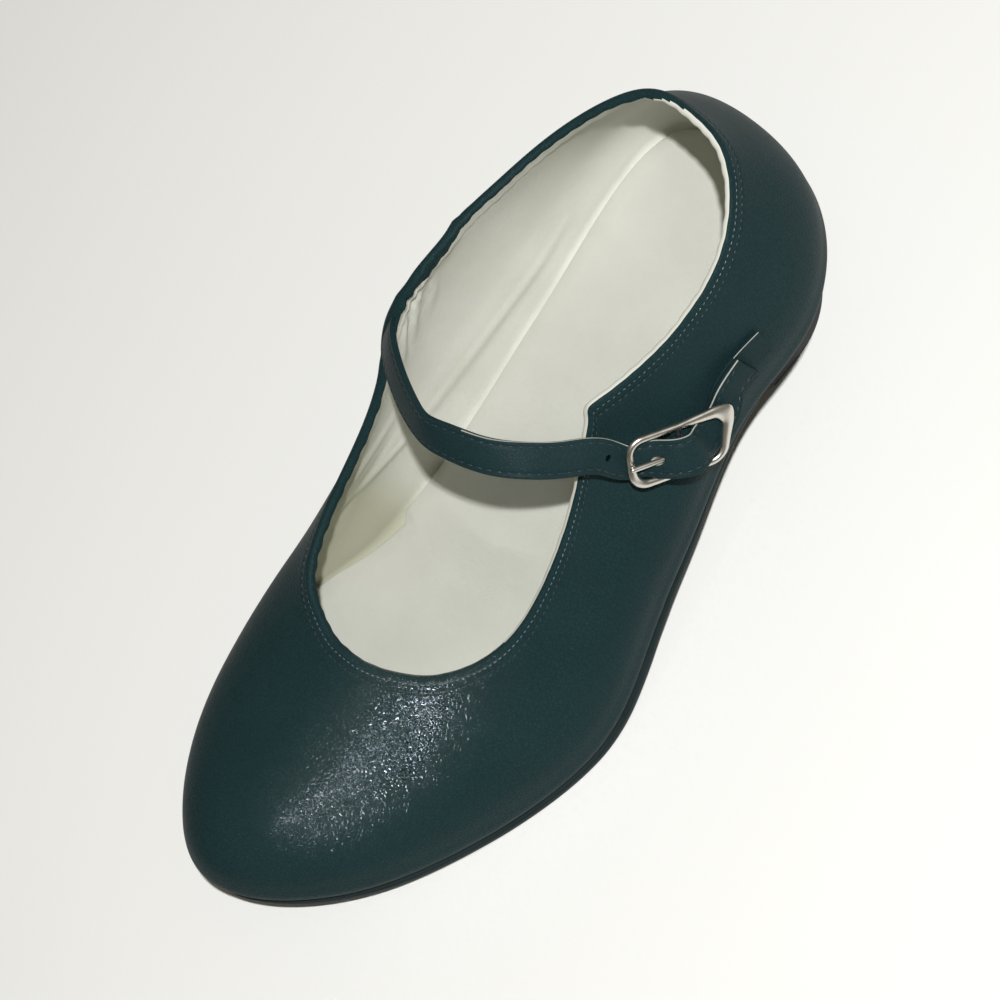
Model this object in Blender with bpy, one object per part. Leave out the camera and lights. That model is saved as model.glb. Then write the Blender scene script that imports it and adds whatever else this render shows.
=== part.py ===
"""Left flamenco shoe in separate pieces: upper, insole, outsole, heel, strap, buckle tab, frame and prong.

Sizes are in millimetres: s from the back of the heel to the toe, x to the outer side, z up from the floor.
The shoe stands on z = 0 with the toe to -Y and the buckle to +X.
"""
from collections import namedtuple
import math

import bpy
import numpy as np

MM = 0.001

# Where the shoe's box is centred, in the shoe's own x and s
MID_X = 2.75
MID_S = 105.4

# Lasted pieces
GAP = 0.3
WALL = 1.8
LASTING_MARGIN = 7.0
FEATHER_ROUND = 1.4
FEATHER_SHARE = 0.03
LINING_SHARE = 0.07
RIM_CROWN = 0.4
RIM_TURN_IN = 15.0
SOLE_THICK = 3.2
SOLE_EDGE = 1.2
SOLE_TAPER = 0.5
INSOLE_THICK = 2.0
INSOLE_INSET = 2.6
BREAST_S = 44.0
HEEL_INSET = 0.5

# Strap and buckle
STRAP_WIDE = 8.0
STRAP_THICK = 1.5
STRAP_CHAMFER = 0.35
HOLE_RADIUS = 1.1
HOLE_PITCH = 13.5
PIN_HOLE_SPAN = (2.0, 9.0)
PIN_CLEAR = 0.4
TAB_WIDE = 7.4
TAB_THICK = 0.8
TAB_SLOT = 2.2
TAB_CHAMFER = 0.2
WIRE_RADIUS = 0.8
BAR_RADIUS = 0.7
FRAME_HALF_LONG = 11.7
FRAME_FLAT = 1.2
PRONG_RADIUS = 0.6
PRONG_LONG = 12.7
PRONG_RISE = 0.25

# Grid counts
AROUND = 92
UP_ROWS = 15
STRIPS = 34
ACROSS = 6
STRAP_STATIONS = 72
TAB_STATIONS = 48
ROD_CORNERS = 12
WIRE_CORNERS = 10
CORNER_STEPS = 6

# One row per wall section, from the heel back along the outer side to the toe and home on the inner side:
# where it stands on the sole, where it ends on the topline, and how the wall leaves and arrives there
# (degrees from upright, and handle length as a share of the chord).
Section = namedtuple(
    "Section", "name foot_s foot_x rim_s rim_x rim_z foot_lean foot_pull rim_lean rim_pull")
SECTIONS = (
    Section("heel_back", 0.0, -3.8, 7.5, -1.8, 77.4, 22, 0.40, 16, 0.40),
    Section("outer_heel_round", 6.2, 17.4, 10.9, 12.3, 77.0, 22, 0.40, 16, 0.40),
    Section("outer_heel_side", 24.7, 30.3, 24.8, 23.7, 74.2, 20, 0.40, 16, 0.40),
    Section("outer_seat_front", 48.6, 31.0, 41.5, 26.2, 70.5, 18, 0.40, 12, 0.40),
    Section("outer_waist", 75.0, 35.6, 57.0, 23.7, 67.2, 16, 0.40, 12, 0.40),
    Section("outer_corner", 93.0, 38.8, 69.8, 20.6, 66.3, 14, 0.40, 13, 0.40),
    Section("outer_strap", 101.0, 40.5, 75.0, 22.0, 62.0, 14, 0.40, 15, 0.40),
    Section("outer_throat", 119.2, 45.0, 93.1, 26.0, 49.6, 12, 0.40, 26, 0.40),
    Section("outer_joint", 134.2, 45.3, 117.1, 28.5, 40.7, 12, 0.42, 40, 0.40),
    Section("outer_ball", 150.1, 42.0, 134.2, 22.9, 39.1, 10, 0.42, 52, 0.40),
    Section("outer_toe_side", 172.2, 34.1, 143.4, 12.6, 39.3, 8, 0.40, 60, 0.40),
    Section("outer_toe_round", 194.3, 21.7, 147.2, 4.0, 39.6, 6, 0.36, 62, 0.40),
    Section("toe_tip", 212.0, -5.0, 148.2, -3.2, 39.7, 5, 0.34, 62, 0.40),
    Section("inner_toe_round", 196.9, -27.8, 148.0, -8.1, 39.5, 6, 0.36, 62, 0.40),
    Section("inner_toe_side", 174.0, -37.9, 145.6, -14.6, 40.5, 8, 0.40, 60, 0.40),
    Section("inner_ball", 150.1, -39.7, 138.3, -23.0, 42.3, 10, 0.42, 50, 0.40),
    Section("inner_joint", 134.2, -35.5, 122.8, -27.8, 45.6, 12, 0.42, 38, 0.40),
    Section("inner_throat", 119.2, -33.0, 101.6, -30.3, 53.3, 12, 0.40, 24, 0.40),
    Section("inner_strap", 98.9, -30.7, 81.8, -33.0, 67.6, 14, 0.40, 10, 0.40),
    Section("inner_waist", 75.0, -29.1, 65.2, -33.6, 72.5, 16, 0.40, 8, 0.40),
    Section("inner_seat_front", 48.6, -28.8, 45.8, -30.7, 72.8, 18, 0.40, 12, 0.40),
    Section("inner_heel_side", 24.7, -30.2, 26.1, -25.6, 73.9, 20, 0.40, 16, 0.40),
    Section("inner_heel_round", 6.2, -25.2, 10.9, -15.4, 76.7, 22, 0.40, 16, 0.40),
)

# Height of the foot line over the floor along the shoe: seat, arch, flat tread under the ball, toe spring
Tread = namedtuple("Tread", "name s z")
TREAD = (
    Tread("behind_heel", -6.0, 33.5),
    Tread("heel_back", 0.0, 33.0),
    Tread("seat", 22.0, 31.4),
    Tread("breast", 44.0, 28.4),
    Tread("arch_high", 66.0, 22.6),
    Tread("arch_mid", 88.0, 14.6),
    Tread("arch_low", 108.0, 7.5),
    Tread("ball_back", 122.0, 4.4),
    Tread("tread_start", 131.0, 3.5),
    Tread("tread_end", 155.0, 3.5),
    Tread("toe_lift", 168.0, 4.4),
    Tread("toe_rise", 182.0, 6.4),
    Tread("toe_round", 195.0, 9.0),
    Tread("toe_near", 205.0, 11.5),
    Tread("toe_tip", 212.0, 13.5),
    Tread("past_toe", 218.0, 15.4),
)

# Heel from seat to floor: share of the drop, width kept, and how far the back and the breast come in
HeelRow = namedtuple("HeelRow", "name drop width back_in breast_in")
HEEL_ROWS = (
    HeelRow("seat", 0.0, 1.0, 0.0, 0.0),
    HeelRow("neck", 0.14, 0.88, 1.8, 1.2),
    HeelRow("hollow", 0.36, 0.74, 4.0, 3.0),
    HeelRow("waist", 0.66, 0.64, 5.6, 4.8),
    HeelRow("tip", 1.0, 0.61, 6.0, 5.6),
)

# The buckle's own axes: its middle, the way to the strap's root end, and the way its face looks
BUCKLE_MIDDLE = np.array([34.7, 63.9, 50.5])
BUCKLE_LONG = np.array([-0.334, 0.834, 0.439])
BUCKLE_FACE = np.array([0.874, 0.060, 0.482])

# Frame corners in the buckle's plane: along it, across it, and the corner's radius
Corner = namedtuple("Corner", "name along across radius")
CORNERS = (
    Corner("strap_side_back", FRAME_HALF_LONG, 5.2, 4.2),
    Corner("heel_side_back", -FRAME_HALF_LONG - 0.7, 5.7, 3.4),
    Corner("heel_side_front", -FRAME_HALF_LONG + 2.6, -5.7, 4.0),
    Corner("strap_side_front", FRAME_HALF_LONG, -5.2, 4.2),
)

# Middle of the strap from its root on the inner topline over the instep, and the way its face looks
BandRow = namedtuple("BandRow", "name x s z face_x face_s face_z")
STRAP_BRIDGE = (
    BandRow("root", -31.5, 85.3, 65.8, -0.96, 0.10, 0.24),
    BandRow("rise", -28.2, 87.3, 68.0, -0.66, 0.48, 0.58),
    BandRow("climb", -19.2, 91.8, 70.8, -0.46, 0.60, 0.66),
    BandRow("shoulder", -8.7, 95.3, 73.0, -0.30, 0.70, 0.65),
    BandRow("inner_top", -4.0, 96.0, 73.8, -0.10, 0.74, 0.66),
    BandRow("top", 2.4, 94.8, 74.2, 0.15, 0.55, 0.82),
    BandRow("outer_top", 12.3, 91.2, 73.0, 0.36, 0.33, 0.87),
    BandRow("fall", 17.9, 87.0, 70.0, 0.52, 0.00, 0.85),
    BandRow("topline", 22.3, 81.6, 65.2, 0.64, -0.12, 0.76),
    BandRow("quarter", 26.2, 76.0, 59.8, 0.74, -0.16, 0.65),
)

# Strap through the buckle, in the buckle's axes: under the near bar, over the middle bar, under the far bar
BuckleRow = namedtuple("BuckleRow", "name along across height")
STRAP_IN_BUCKLE = (
    BuckleRow("near_bar", FRAME_HALF_LONG, 0.0, -2.0),
    BuckleRow("climb", 8.0, 0.0, -0.9),
    BuckleRow("prong_hole", 4.6, 0.0, 1.7),
    BuckleRow("over_bar", 1.2, 0.0, 3.6),
    BuckleRow("past_bar", -1.6, 0.0, 3.5),
    BuckleRow("drop", -4.8, 0.1, 0.6),
    BuckleRow("far_bar", -8.2, 1.0, -1.95),
    BuckleRow("far_corner", -11.2, 3.4, -2.1),
)
STRAP_END = (
    BandRow("free", 34.3, 48.2, 49.2, 0.966, 0.05, 0.25),
    BandRow("end", 34.2, 41.0, 51.1, 0.967, 0.09, 0.24),
)

# Buckle tab from its loop on the middle bar back along the outer quarter
TAB_IN_BUCKLE = (
    BuckleRow("leaves_loop", -3.2, 0.2, -2.3),
    BuckleRow("under_strap", -8.2, 1.0, -3.55),
    BuckleRow("far_corner", -11.2, 3.4, -3.75),
)
TAB_END = (
    BandRow("sewn", 32.75, 48.1, 48.7, 0.966, 0.05, 0.25),
    BandRow("past_strap", 32.75, 41.0, 50.4, 0.969, 0.09, 0.23),
    BandRow("end", 33.2, 34.4, 50.4, 0.977, 0.03, 0.21),
)
TAB_LOOP_DEGREES = (150.0, 110.0, 70.0, 30.0, -10.0, -50.0, -90.0)
PRONG_LOOP_DEGREES = (285.0, 255.0, 225.0, 195.0, 165.0, 135.0, 110.0, 90.0)


def spline_slopes(knots, values, closed):
    """Slopes at the knots of the cubic spline through a table's rows, closed or with free ends."""
    count = len(knots) - 1
    step = np.diff(knots)[:, None]
    rise = np.diff(values, axis=0) / step
    size = count if closed else count + 1
    left = np.zeros((size, size))
    right = np.zeros((size, values.shape[1]))
    for i in range(size):
        if not closed and i in (0, count):
            near = 1 if i == 0 else count - 1
            left[i, i] = 2.0
            left[i, near] = 1.0
            right[i] = 3.0 * rise[0 if i == 0 else count - 1]
            continue
        before = step[i - 1, 0]
        after = step[i % count, 0]
        left[i, (i - 1) % size] += after
        left[i, i] += 2.0 * (before + after)
        left[i, (i + 1) % size] += before
        right[i] = 3.0 * (after * rise[i - 1] + before * rise[i % count])
    slopes = np.linalg.solve(left, right)
    return np.vstack([slopes, slopes[:1]]) if closed else slopes


def spline(knots, values, at, closed=False):
    """Values and first derivatives of the cubic spline at the parameters given."""
    slopes = spline_slopes(knots, values, closed)
    k = np.clip(np.searchsorted(knots, at, side="right") - 1, 0, len(knots) - 2)
    h = (knots[k + 1] - knots[k])[:, None]
    t = ((at - knots[k]) / (knots[k + 1] - knots[k]))[:, None]
    a, b, m, n = values[k], values[k + 1], slopes[k] * h, slopes[k + 1] * h
    point = a + m * t + (3 * (b - a) - 2 * m - n) * t ** 2 + (2 * (a - b) + m + n) * t ** 3
    slope = (m + 2 * (3 * (b - a) - 2 * m - n) * t + 3 * (2 * (a - b) + m + n) * t ** 2) / h
    return point, slope


def tread_height(s):
    """Height of the foot line at s: a monotone cubic through the TREAD rows."""
    xs = np.array([row.s for row in TREAD])
    zs = np.array([row.z for row in TREAD])
    step = np.diff(xs)
    rise = np.diff(zs) / step
    slope = np.zeros(len(xs))
    same = rise[:-1] * rise[1:] > 0
    w1 = 2 * step[1:] + step[:-1]
    w2 = step[1:] + 2 * step[:-1]
    safe = np.where(same, rise[:-1], 1.0), np.where(same, rise[1:], 1.0)
    slope[1:-1] = np.where(same, (w1 + w2) / (w1 / safe[0] + w2 / safe[1]), 0.0)
    slope[0] = rise[0]
    slope[-1] = rise[-1]
    s = np.asarray(s, float)
    k = np.clip(np.searchsorted(xs, s, side="right") - 1, 0, len(xs) - 2)
    h = step[k]
    t = (s - xs[k]) / h
    a, b, m, n = zs[k], zs[k + 1], slope[k] * h, slope[k + 1] * h
    return a + m * t + (3 * (b - a) - 2 * m - n) * t ** 2 + (2 * (a - b) + m + n) * t ** 3


def unit(vectors):
    """Vectors scaled to length one along their last axis."""
    return vectors / np.linalg.norm(vectors, axis=-1, keepdims=True)


class Last:
    """The lasted form: foot line, topline and the wall between them, in x, s, z."""

    def __init__(self, around):
        rows = np.array([row[1:] for row in SECTIONS], float)
        foot = rows[:, :2]
        reach = np.linalg.norm(np.roll(foot, -1, 0) - foot, axis=1) ** 0.75
        knots = np.concatenate([[0.0], np.cumsum(reach)])
        at = np.linspace(0.0, knots[-1], around, endpoint=False)
        value, slope = spline(knots, np.vstack([rows, rows[:1]]), at, closed=True)
        self.foot = np.stack([value[:, 1], value[:, 0], tread_height(value[:, 0])], 1)
        self.rim = np.stack([value[:, 3], value[:, 2], value[:, 4]], 1)
        along = unit(np.stack([slope[:, 1], slope[:, 0]], 1))
        self.out = np.stack([along[:, 1], -along[:, 0]], 1)
        chord = np.linalg.norm(self.rim - self.foot, axis=1)[:, None]
        lean = np.radians(value[:, 5:6])
        start = np.concatenate([self.out * np.sin(lean), np.cos(lean)], 1)
        inward = unit(self.rim[:, :2] - self.foot[:, :2] - RIM_TURN_IN * self.out)
        lean = np.radians(value[:, 7:8])
        self.rim_way = np.concatenate([inward * np.sin(lean), np.cos(lean)], 1)
        self.low = self.foot + start * value[:, 6:7] * chord
        self.high = self.rim - self.rim_way * value[:, 8:9] * chord

    def wall(self, share):
        """Points of the outer skin, one column per section, at the shares of its height given."""
        v = np.asarray(share, float)[None, :, None]
        w = 1.0 - v
        foot, low, high, rim = (p[:, None] for p in (self.foot, self.low, self.high, self.rim))
        return w ** 3 * foot + 3 * w ** 2 * v * low + 3 * w * v ** 2 * high + v ** 3 * rim

    def normals(self, share):
        """Outward normals of the skin at the same places."""
        v = np.asarray(share, float)[None, :, None]
        w = 1.0 - v
        foot, low, high, rim = (p[:, None] for p in (self.foot, self.low, self.high, self.rim))
        up = w ** 2 * (low - foot) + 2 * w * v * (high - low) + v ** 2 * (rim - high)
        skin = self.wall(share)
        round_way = np.roll(skin, -1, 0) - np.roll(skin, 1, 0)
        normal = unit(np.cross(up, round_way))
        outward = (normal[..., :2] * self.out[:, None]).sum(-1).mean()
        return normal if outward > 0 else -normal

    def level(self, inset, lift):
        """The foot line drawn in by an inset and raised, as a ring of points."""
        ring = self.foot.copy()
        ring[:, :2] -= self.out * inset
        ring[:, 2] = tread_height(ring[:, 1]) + lift
        return ring


def to_row(points):
    """Shoe x, s, z in millimetres to the row frame in metres."""
    x, s, z = points[..., 0], points[..., 1], points[..., 2]
    return np.stack([x - MID_X, MID_S - s, z], -1) * MM


def grid_faces(columns, rows, first=0, wrap=True):
    """Quads of a grid stored column by column; wrap joins the last column to the first."""
    index = first + np.arange(columns * rows).reshape(columns, rows)
    near = index if wrap else index[:-1]
    far = np.roll(index, -1, 0) if wrap else index[1:]
    quads = np.stack([near[:, :-1], far[:, :-1], far[:, 1:], near[:, 1:]], -1)
    return quads.reshape(-1, 4)


def material(name, color, roughness, metallic=0.0):
    """A plain Principled material."""
    mat = bpy.data.materials.new(name)
    mat.use_nodes = True
    shader = mat.node_tree.nodes["Principled BSDF"]
    shader.inputs["Base Color"].default_value = (*color, 1.0)
    shader.inputs["Roughness"].default_value = roughness
    shader.inputs["Metallic"].default_value = metallic
    return mat


def make_object(name, points, faces, mat):
    """One closed solid from points in shoe millimetres, welded and turned to face outward."""
    verts = to_row(np.asarray(points, float))
    keys, home = np.unique(np.round(verts / (0.002 * MM)).astype(np.int64), axis=0, return_inverse=True)
    home = home.ravel()
    first = np.full(len(keys), len(verts))
    np.minimum.at(first, home, np.arange(len(verts)))
    clean = []
    for face in faces:
        ring = [int(home[i]) for i in face]
        ring = [v for k, v in enumerate(ring) if v != ring[k - 1]]
        if len(set(ring)) > 2:
            clean.append(ring)
    verts = verts[first]
    mesh = bpy.data.meshes.new(name)
    mesh.from_pydata(verts.tolist(), [], clean)
    mesh.validate()
    volume = 0.0
    for ring in clean:
        a = verts[ring[0]]
        for k in range(1, len(ring) - 1):
            volume += float(np.dot(a, np.cross(verts[ring[k]], verts[ring[k + 1]])))
    if volume < 0:
        mesh.flip_normals()
    mesh.update()
    obj = bpy.data.objects.new(name, mesh)
    obj.data.materials.append(mat)
    bpy.context.scene.collection.objects.link(obj)
    return obj


def build_upper(mat):
    """Hollow lasted upper: outer skin, inner skin, crowned topline and a turned-in lasting margin."""
    last = Last(AROUND)
    share = np.linspace(FEATHER_SHARE, 1.0, UP_ROWS)
    outer = np.concatenate([
        last.level(LASTING_MARGIN, 0.0)[:, None],
        last.level(FEATHER_ROUND, 0.0)[:, None],
        last.wall(share),
    ], 1)
    inner_share = np.linspace(LINING_SHARE, 1.0, UP_ROWS)
    lining = last.wall(inner_share) - last.normals(inner_share) * WALL
    crown = (outer[:, -1:] + lining[:, -1:]) / 2 + last.rim_way[:, None] * RIM_CROWN
    inner = np.concatenate([
        lining[:, ::-1],
        last.level(WALL + 0.2, WALL)[:, None],
        last.level(LASTING_MARGIN, WALL)[:, None],
    ], 1)
    rows = np.concatenate([outer, crown, inner, outer[:, :1]], 1)
    count = rows.shape[1]
    return make_object("upper", rows.reshape(-1, 3), grid_faces(AROUND, count).tolist(), mat)


def side_lines(offset, s_from):
    """Inner and outer edge of the foot line, moved out by an offset, from s_from or the heel to the toe."""
    fine = Last(1600)
    ring = fine.foot[:, :2] + fine.out * offset
    tip = int(np.argmax(ring[:, 1]))
    back = int(np.argmin(ring[:, 1]))
    ring = np.roll(ring, -back, 0)
    tip = (tip - back) % len(ring)
    outer = ring[:tip + 1]
    inner = np.vstack([ring[tip:], ring[:1]])[::-1]
    lines = []
    for line in (inner, outer):
        if s_from is not None:
            keep = line[line[:, 1] >= s_from]
            start = np.interp(s_from, line[:, 1][:400], line[:, 0][:400])
            line = np.vstack([[start, s_from], keep])
        lines.append(line)
    return lines


def plank_plan(offset, s_from, s_to=None):
    """Plan grid (x, s) of a plank under the foot: strips from inner to outer edge, heel to toe."""
    ease = np.linspace(0.0, 1.0, STRIPS + 1)
    both_round = s_from is None
    ease = (1 - np.cos(math.pi * ease)) / 2 if both_round else np.sin(ease * math.pi / 2) ** 1.15
    edges = []
    for line in side_lines(offset, s_from):
        if s_to is not None:
            keep = line[line[:, 1] <= s_to]
            end = np.interp(s_to, line[:, 1], line[:, 0])
            line = np.vstack([keep, [end, s_to]])
        run = np.concatenate([[0.0], np.cumsum(np.linalg.norm(np.diff(line, axis=0), axis=1))])
        at = ease * run[-1]
        edges.append(np.stack([np.interp(at, run, line[:, 0]), np.interp(at, run, line[:, 1])], 1))
    share = np.linspace(0.0, 1.0, ACROSS + 1)[None, :, None]
    return edges[0][:, None] * (1 - share) + edges[1][:, None] * share


def rim_loop(columns, rows):
    """Indices round the border of a plan grid."""
    index = np.arange(columns * rows).reshape(columns, rows)
    return np.concatenate([index[:-1, 0], index[-1, :-1], index[:0:-1, -1], index[0, :0:-1]])


def stacked_solid(name, layers, mat):
    """Solid from plan-grid layers, top to bottom: closed faces at both ends, only borders between."""
    columns, rows = layers[0].shape[:2]
    border = rim_loop(columns, rows)
    grid = grid_faces(columns, rows, wrap=False)
    points = [layers[0].reshape(-1, 3)]
    faces = [grid]
    size = columns * rows
    loops = [border]
    used = size
    for layer in layers[1:-1]:
        points.append(layer.reshape(-1, 3)[border])
        loops.append(used + np.arange(len(border)))
        used += len(border)
    points.append(layers[-1].reshape(-1, 3))
    faces.append(grid[:, ::-1] + used)
    loops.append(border + used)
    for top, low in zip(loops[:-1], loops[1:]):
        faces.append(np.stack([top, low, np.roll(low, -1), np.roll(top, -1)], -1))
    return make_object(name, np.concatenate(points), np.concatenate(faces).tolist(), mat)


def at_height(plan, lift):
    """Plan grid raised to the foot line's height plus a lift."""
    return np.concatenate([plan, (tread_height(plan[..., 1]) + lift)[..., None]], -1)


def build_insole(mat):
    """Full-length insole resting on the lasting margin."""
    plan = plank_plan(-INSOLE_INSET, None)
    low = WALL + GAP
    return stacked_solid("insole", [at_height(plan, low + INSOLE_THICK), at_height(plan, low)], mat)


def build_outsole(mat):
    """Outsole from the heel breast to the toe, flat on the floor under the ball."""
    top = plank_plan(SOLE_EDGE, BREAST_S)
    bottom = plank_plan(SOLE_EDGE - SOLE_TAPER, BREAST_S)
    return stacked_solid("outsole", [at_height(top, -GAP), at_height(bottom, -GAP - SOLE_THICK)], mat)


def build_heel(mat):
    """Heel under the seat: hollowed sides and back, straight breast, flat tip on the floor."""
    end = BREAST_S - GAP
    plan = plank_plan(-HEEL_INSET, None, end)
    middle = float(plan[:, :, 0].mean())
    seat = tread_height(plan[..., 1]) - GAP
    layers = []
    for row in HEEL_ROWS:
        run = plan[..., 1] / end
        x = middle + (plan[..., 0] - middle) * row.width
        s = plan[..., 1] + row.back_in * (1 - run) - row.breast_in * run
        layers.append(np.stack([x, s, seat * (1 - row.drop)], -1))
    return stacked_solid("heel", layers, mat)


def buckle_axes():
    """Middle, long, across and face vectors of the buckle, square to each other, in x, s, z."""
    long = unit(BUCKLE_LONG)
    face = unit(BUCKLE_FACE - long * float(BUCKLE_FACE @ long))
    across = np.cross(face, long)
    return BUCKLE_MIDDLE, long, across if across[2] > 0 else -across, face


def in_buckle(along, across, height):
    """Point in x, s, z from the buckle's own axes."""
    middle, long, side, face = buckle_axes()
    return middle + long * along + side * across + face * height


def band_line(rows, count):
    """Evenly spaced points, travel, side and face vectors of a band whose middle runs through the rows."""
    rows = np.asarray(rows, float)
    knots = np.concatenate([[0.0], np.cumsum(np.linalg.norm(np.diff(rows[:, :3], axis=0), axis=1))])
    point, slope = spline(knots, rows, np.linspace(0.0, knots[-1], count))
    travel = unit(slope[:, :3])
    side = unit(np.cross(point[:, 3:], travel))
    return point[:, :3], travel, side, np.cross(travel, side)


def tube(section, line, side, face):
    """Points and faces of a closed tube: a section polygon (side, face) carried along a line, ends capped."""
    ring = section[None, :, :1] * side[:, None] + section[None, :, 1:] * face[:, None]
    points = line[:, None] + ring
    stations, corners = points.shape[:2]
    index = np.arange(stations * corners).reshape(stations, corners)
    turn = np.roll(index, -1, 1)
    quads = np.stack([index[:-1], turn[:-1], turn[1:], index[1:]], -1).reshape(-1, 4)
    return points.reshape(-1, 3), quads.tolist() + [index[0, ::-1].tolist(), index[-1].tolist()]


def flat_section(wide, thick, chamfer):
    """Cross-section of a strap with its long edges broken."""
    w, t = wide / 2, thick / 2
    quarter = [(w, t - chamfer), (w - chamfer, t)]
    ring = quarter + [(-a, b) for a, b in quarter[::-1]]
    ring += [(-a, -b) for a, b in quarter] + [(a, -b) for a, b in quarter[::-1]]
    return np.array(ring)


def round_section(radius, corners, stretch=1.0):
    """Cross-section of a wire."""
    turn = np.linspace(0.0, 2 * math.pi, corners, endpoint=False)
    return np.stack([np.cos(turn) * radius * stretch, np.sin(turn) * radius], 1)


def face_rows(buckle_rows):
    """Buckle-axis rows as band rows that look the way of the buckle's face."""
    face = buckle_axes()[3]
    return [np.concatenate([in_buckle(*row[1:]), face]) for row in buckle_rows]


def strap_rows():
    """All rows of the strap from root to free end."""
    return [row[1:] for row in STRAP_BRIDGE] + face_rows(STRAP_IN_BUCKLE) + [row[1:] for row in STRAP_END]


def combine(obj, tool, how):
    """Replaces an object's mesh by its exact union or difference with a tool, and drops the tool."""
    cut = obj.modifiers.new(how.lower(), "BOOLEAN")
    cut.operation = how
    cut.solver = "EXACT"
    cut.object = tool
    tool.hide_render = True
    tool.display_type = "WIRE"
    graph = bpy.context.evaluated_depsgraph_get()
    mesh = bpy.data.meshes.new_from_object(obj.evaluated_get(graph))
    obj.modifiers.clear()
    obj.data = mesh
    bpy.data.objects.remove(tool, do_unlink=True)


def rod(name, start, end, radius, mat):
    """A straight round rod between two points, as a tool or a bar."""
    way = unit(np.asarray(end) - np.asarray(start))
    axis = np.eye(3)[int(np.argmin(np.abs(way)))]
    side = unit(np.cross(way, axis))
    sides = np.array([side, side])
    line = np.array([start, end], float)
    points, faces = tube(round_section(radius, ROD_CORNERS), line, sides, np.cross(way, sides))
    return make_object(name, points, faces, mat)


def build_strap(mat):
    """Instep strap from the inner topline through the buckle to its cut end, with its two holes."""
    line, travel, side, face = band_line(strap_rows(), STRAP_STATIONS)
    section = flat_section(STRAP_WIDE, STRAP_THICK, STRAP_CHAMFER)
    points, faces = tube(section, line, side, face)
    strap = make_object("strap", points, faces, mat)
    height = BAR_RADIUS + GAP + PRONG_RADIUS
    ends = [in_buckle(along, 0.0, height) for along in PIN_HOLE_SPAN]
    combine(strap, rod("pin_tool", *ends, PRONG_RADIUS + PIN_CLEAR, mat), "DIFFERENCE")
    run = np.concatenate([[0.0], np.cumsum(np.linalg.norm(np.diff(line, axis=0), axis=1))])
    hole = [row for row in STRAP_IN_BUCKLE if row.name == "prong_hole"][0]
    pin = int(np.argmin(np.linalg.norm(line - in_buckle(*hole[1:]), axis=1)))
    spare = int(np.argmin(np.abs(run - (run[pin] - HOLE_PITCH))))
    reach = face[spare] * STRAP_THICK
    combine(strap, rod("hole_tool", line[spare] - reach, line[spare] + reach, HOLE_RADIUS, mat), "DIFFERENCE")
    return strap


def build_tab(mat):
    """Leather tab sewn to the outer quarter, its slotted loop closed round the middle bar."""
    reach = BAR_RADIUS + GAP + TAB_THICK / 2
    middle, long, across, face = buckle_axes()
    rows = []
    for degrees in TAB_LOOP_DEGREES:
        turn = math.radians(degrees)
        spoke = long * math.cos(turn) + face * math.sin(turn)
        rows.append(np.concatenate([middle + spoke * reach, -spoke]))
    rows += face_rows(TAB_IN_BUCKLE) + [row[1:] for row in TAB_END]
    line, travel, side, look = band_line(rows, TAB_STATIONS)
    points, faces = tube(flat_section(TAB_WIDE, TAB_THICK, TAB_CHAMFER), line, side, look)
    tab = make_object("buckle_tab", points, faces, mat)
    deep = 2 * reach
    slot = np.array([[-TAB_SLOT, -deep], [TAB_SLOT, -deep], [TAB_SLOT, deep], [-TAB_SLOT, deep]])
    slot[:, 0] /= 2
    ends = np.array([middle - long * 1.4 * reach, middle + long * deep])
    points, faces = tube(slot, ends, np.array([across, across]), np.array([face, face]))
    combine(tab, make_object("slot_tool", points, faces, mat), "DIFFERENCE")
    return tab


def frame_path():
    """Closed line of the frame in the buckle's plane (along, across) with its rounded corners."""
    plan = np.array([(c.along, c.across) for c in CORNERS])
    line = []
    for k, corner in enumerate(CORNERS):
        to_last = unit(plan[k - 1] - plan[k])
        to_next = unit(plan[(k + 1) % len(plan)] - plan[k])
        half = math.acos(float(np.clip(to_last @ to_next, -1, 1))) / 2
        centre = plan[k] + unit(to_last + to_next) * corner.radius / math.sin(half)
        start = plan[k] + to_last * corner.radius / math.tan(half) - centre
        sweep = math.pi - 2 * half
        sign = 1.0 if to_last[0] * to_next[1] - to_last[1] * to_next[0] < 0 else -1.0
        for t in np.linspace(0.0, sign * sweep, CORNER_STEPS):
            turned = np.array([start[0] * math.cos(t) - start[1] * math.sin(t),
                               start[0] * math.sin(t) + start[1] * math.cos(t)])
            line.append(centre + turned)
    return np.array(line)


def build_frame(mat):
    """Cast buckle frame with its middle bar."""
    plan = frame_path()
    middle, long, across, face = buckle_axes()
    line = middle + plan[:, :1] * long + plan[:, 1:] * across
    travel = unit(np.roll(line, -1, 0) - np.roll(line, 1, 0))
    side = unit(np.cross(travel, face))
    section = round_section(WIRE_RADIUS, WIRE_CORNERS, FRAME_FLAT)
    points = line[:, None] + section[None, :, :1] * side[:, None] + section[None, :, 1:] * face[None, None]
    stations, corners = points.shape[:2]
    index = np.arange(stations * corners).reshape(stations, corners)
    ahead = np.roll(index, -1, 0)
    ring = [index, ahead, np.roll(ahead, -1, 1), np.roll(index, -1, 1)]
    faces = np.stack(ring, -1).reshape(-1, 4)
    frame = make_object("buckle_frame", points.reshape(-1, 3), faces.tolist(), mat)
    half = (CORNERS[0].across + CORNERS[1].across) / 2
    bar = rod("bar_tool", in_buckle(0.0, -half, 0.0), in_buckle(0.0, half, 0.0), BAR_RADIUS, mat)
    combine(frame, bar, "UNION")
    return frame


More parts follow.
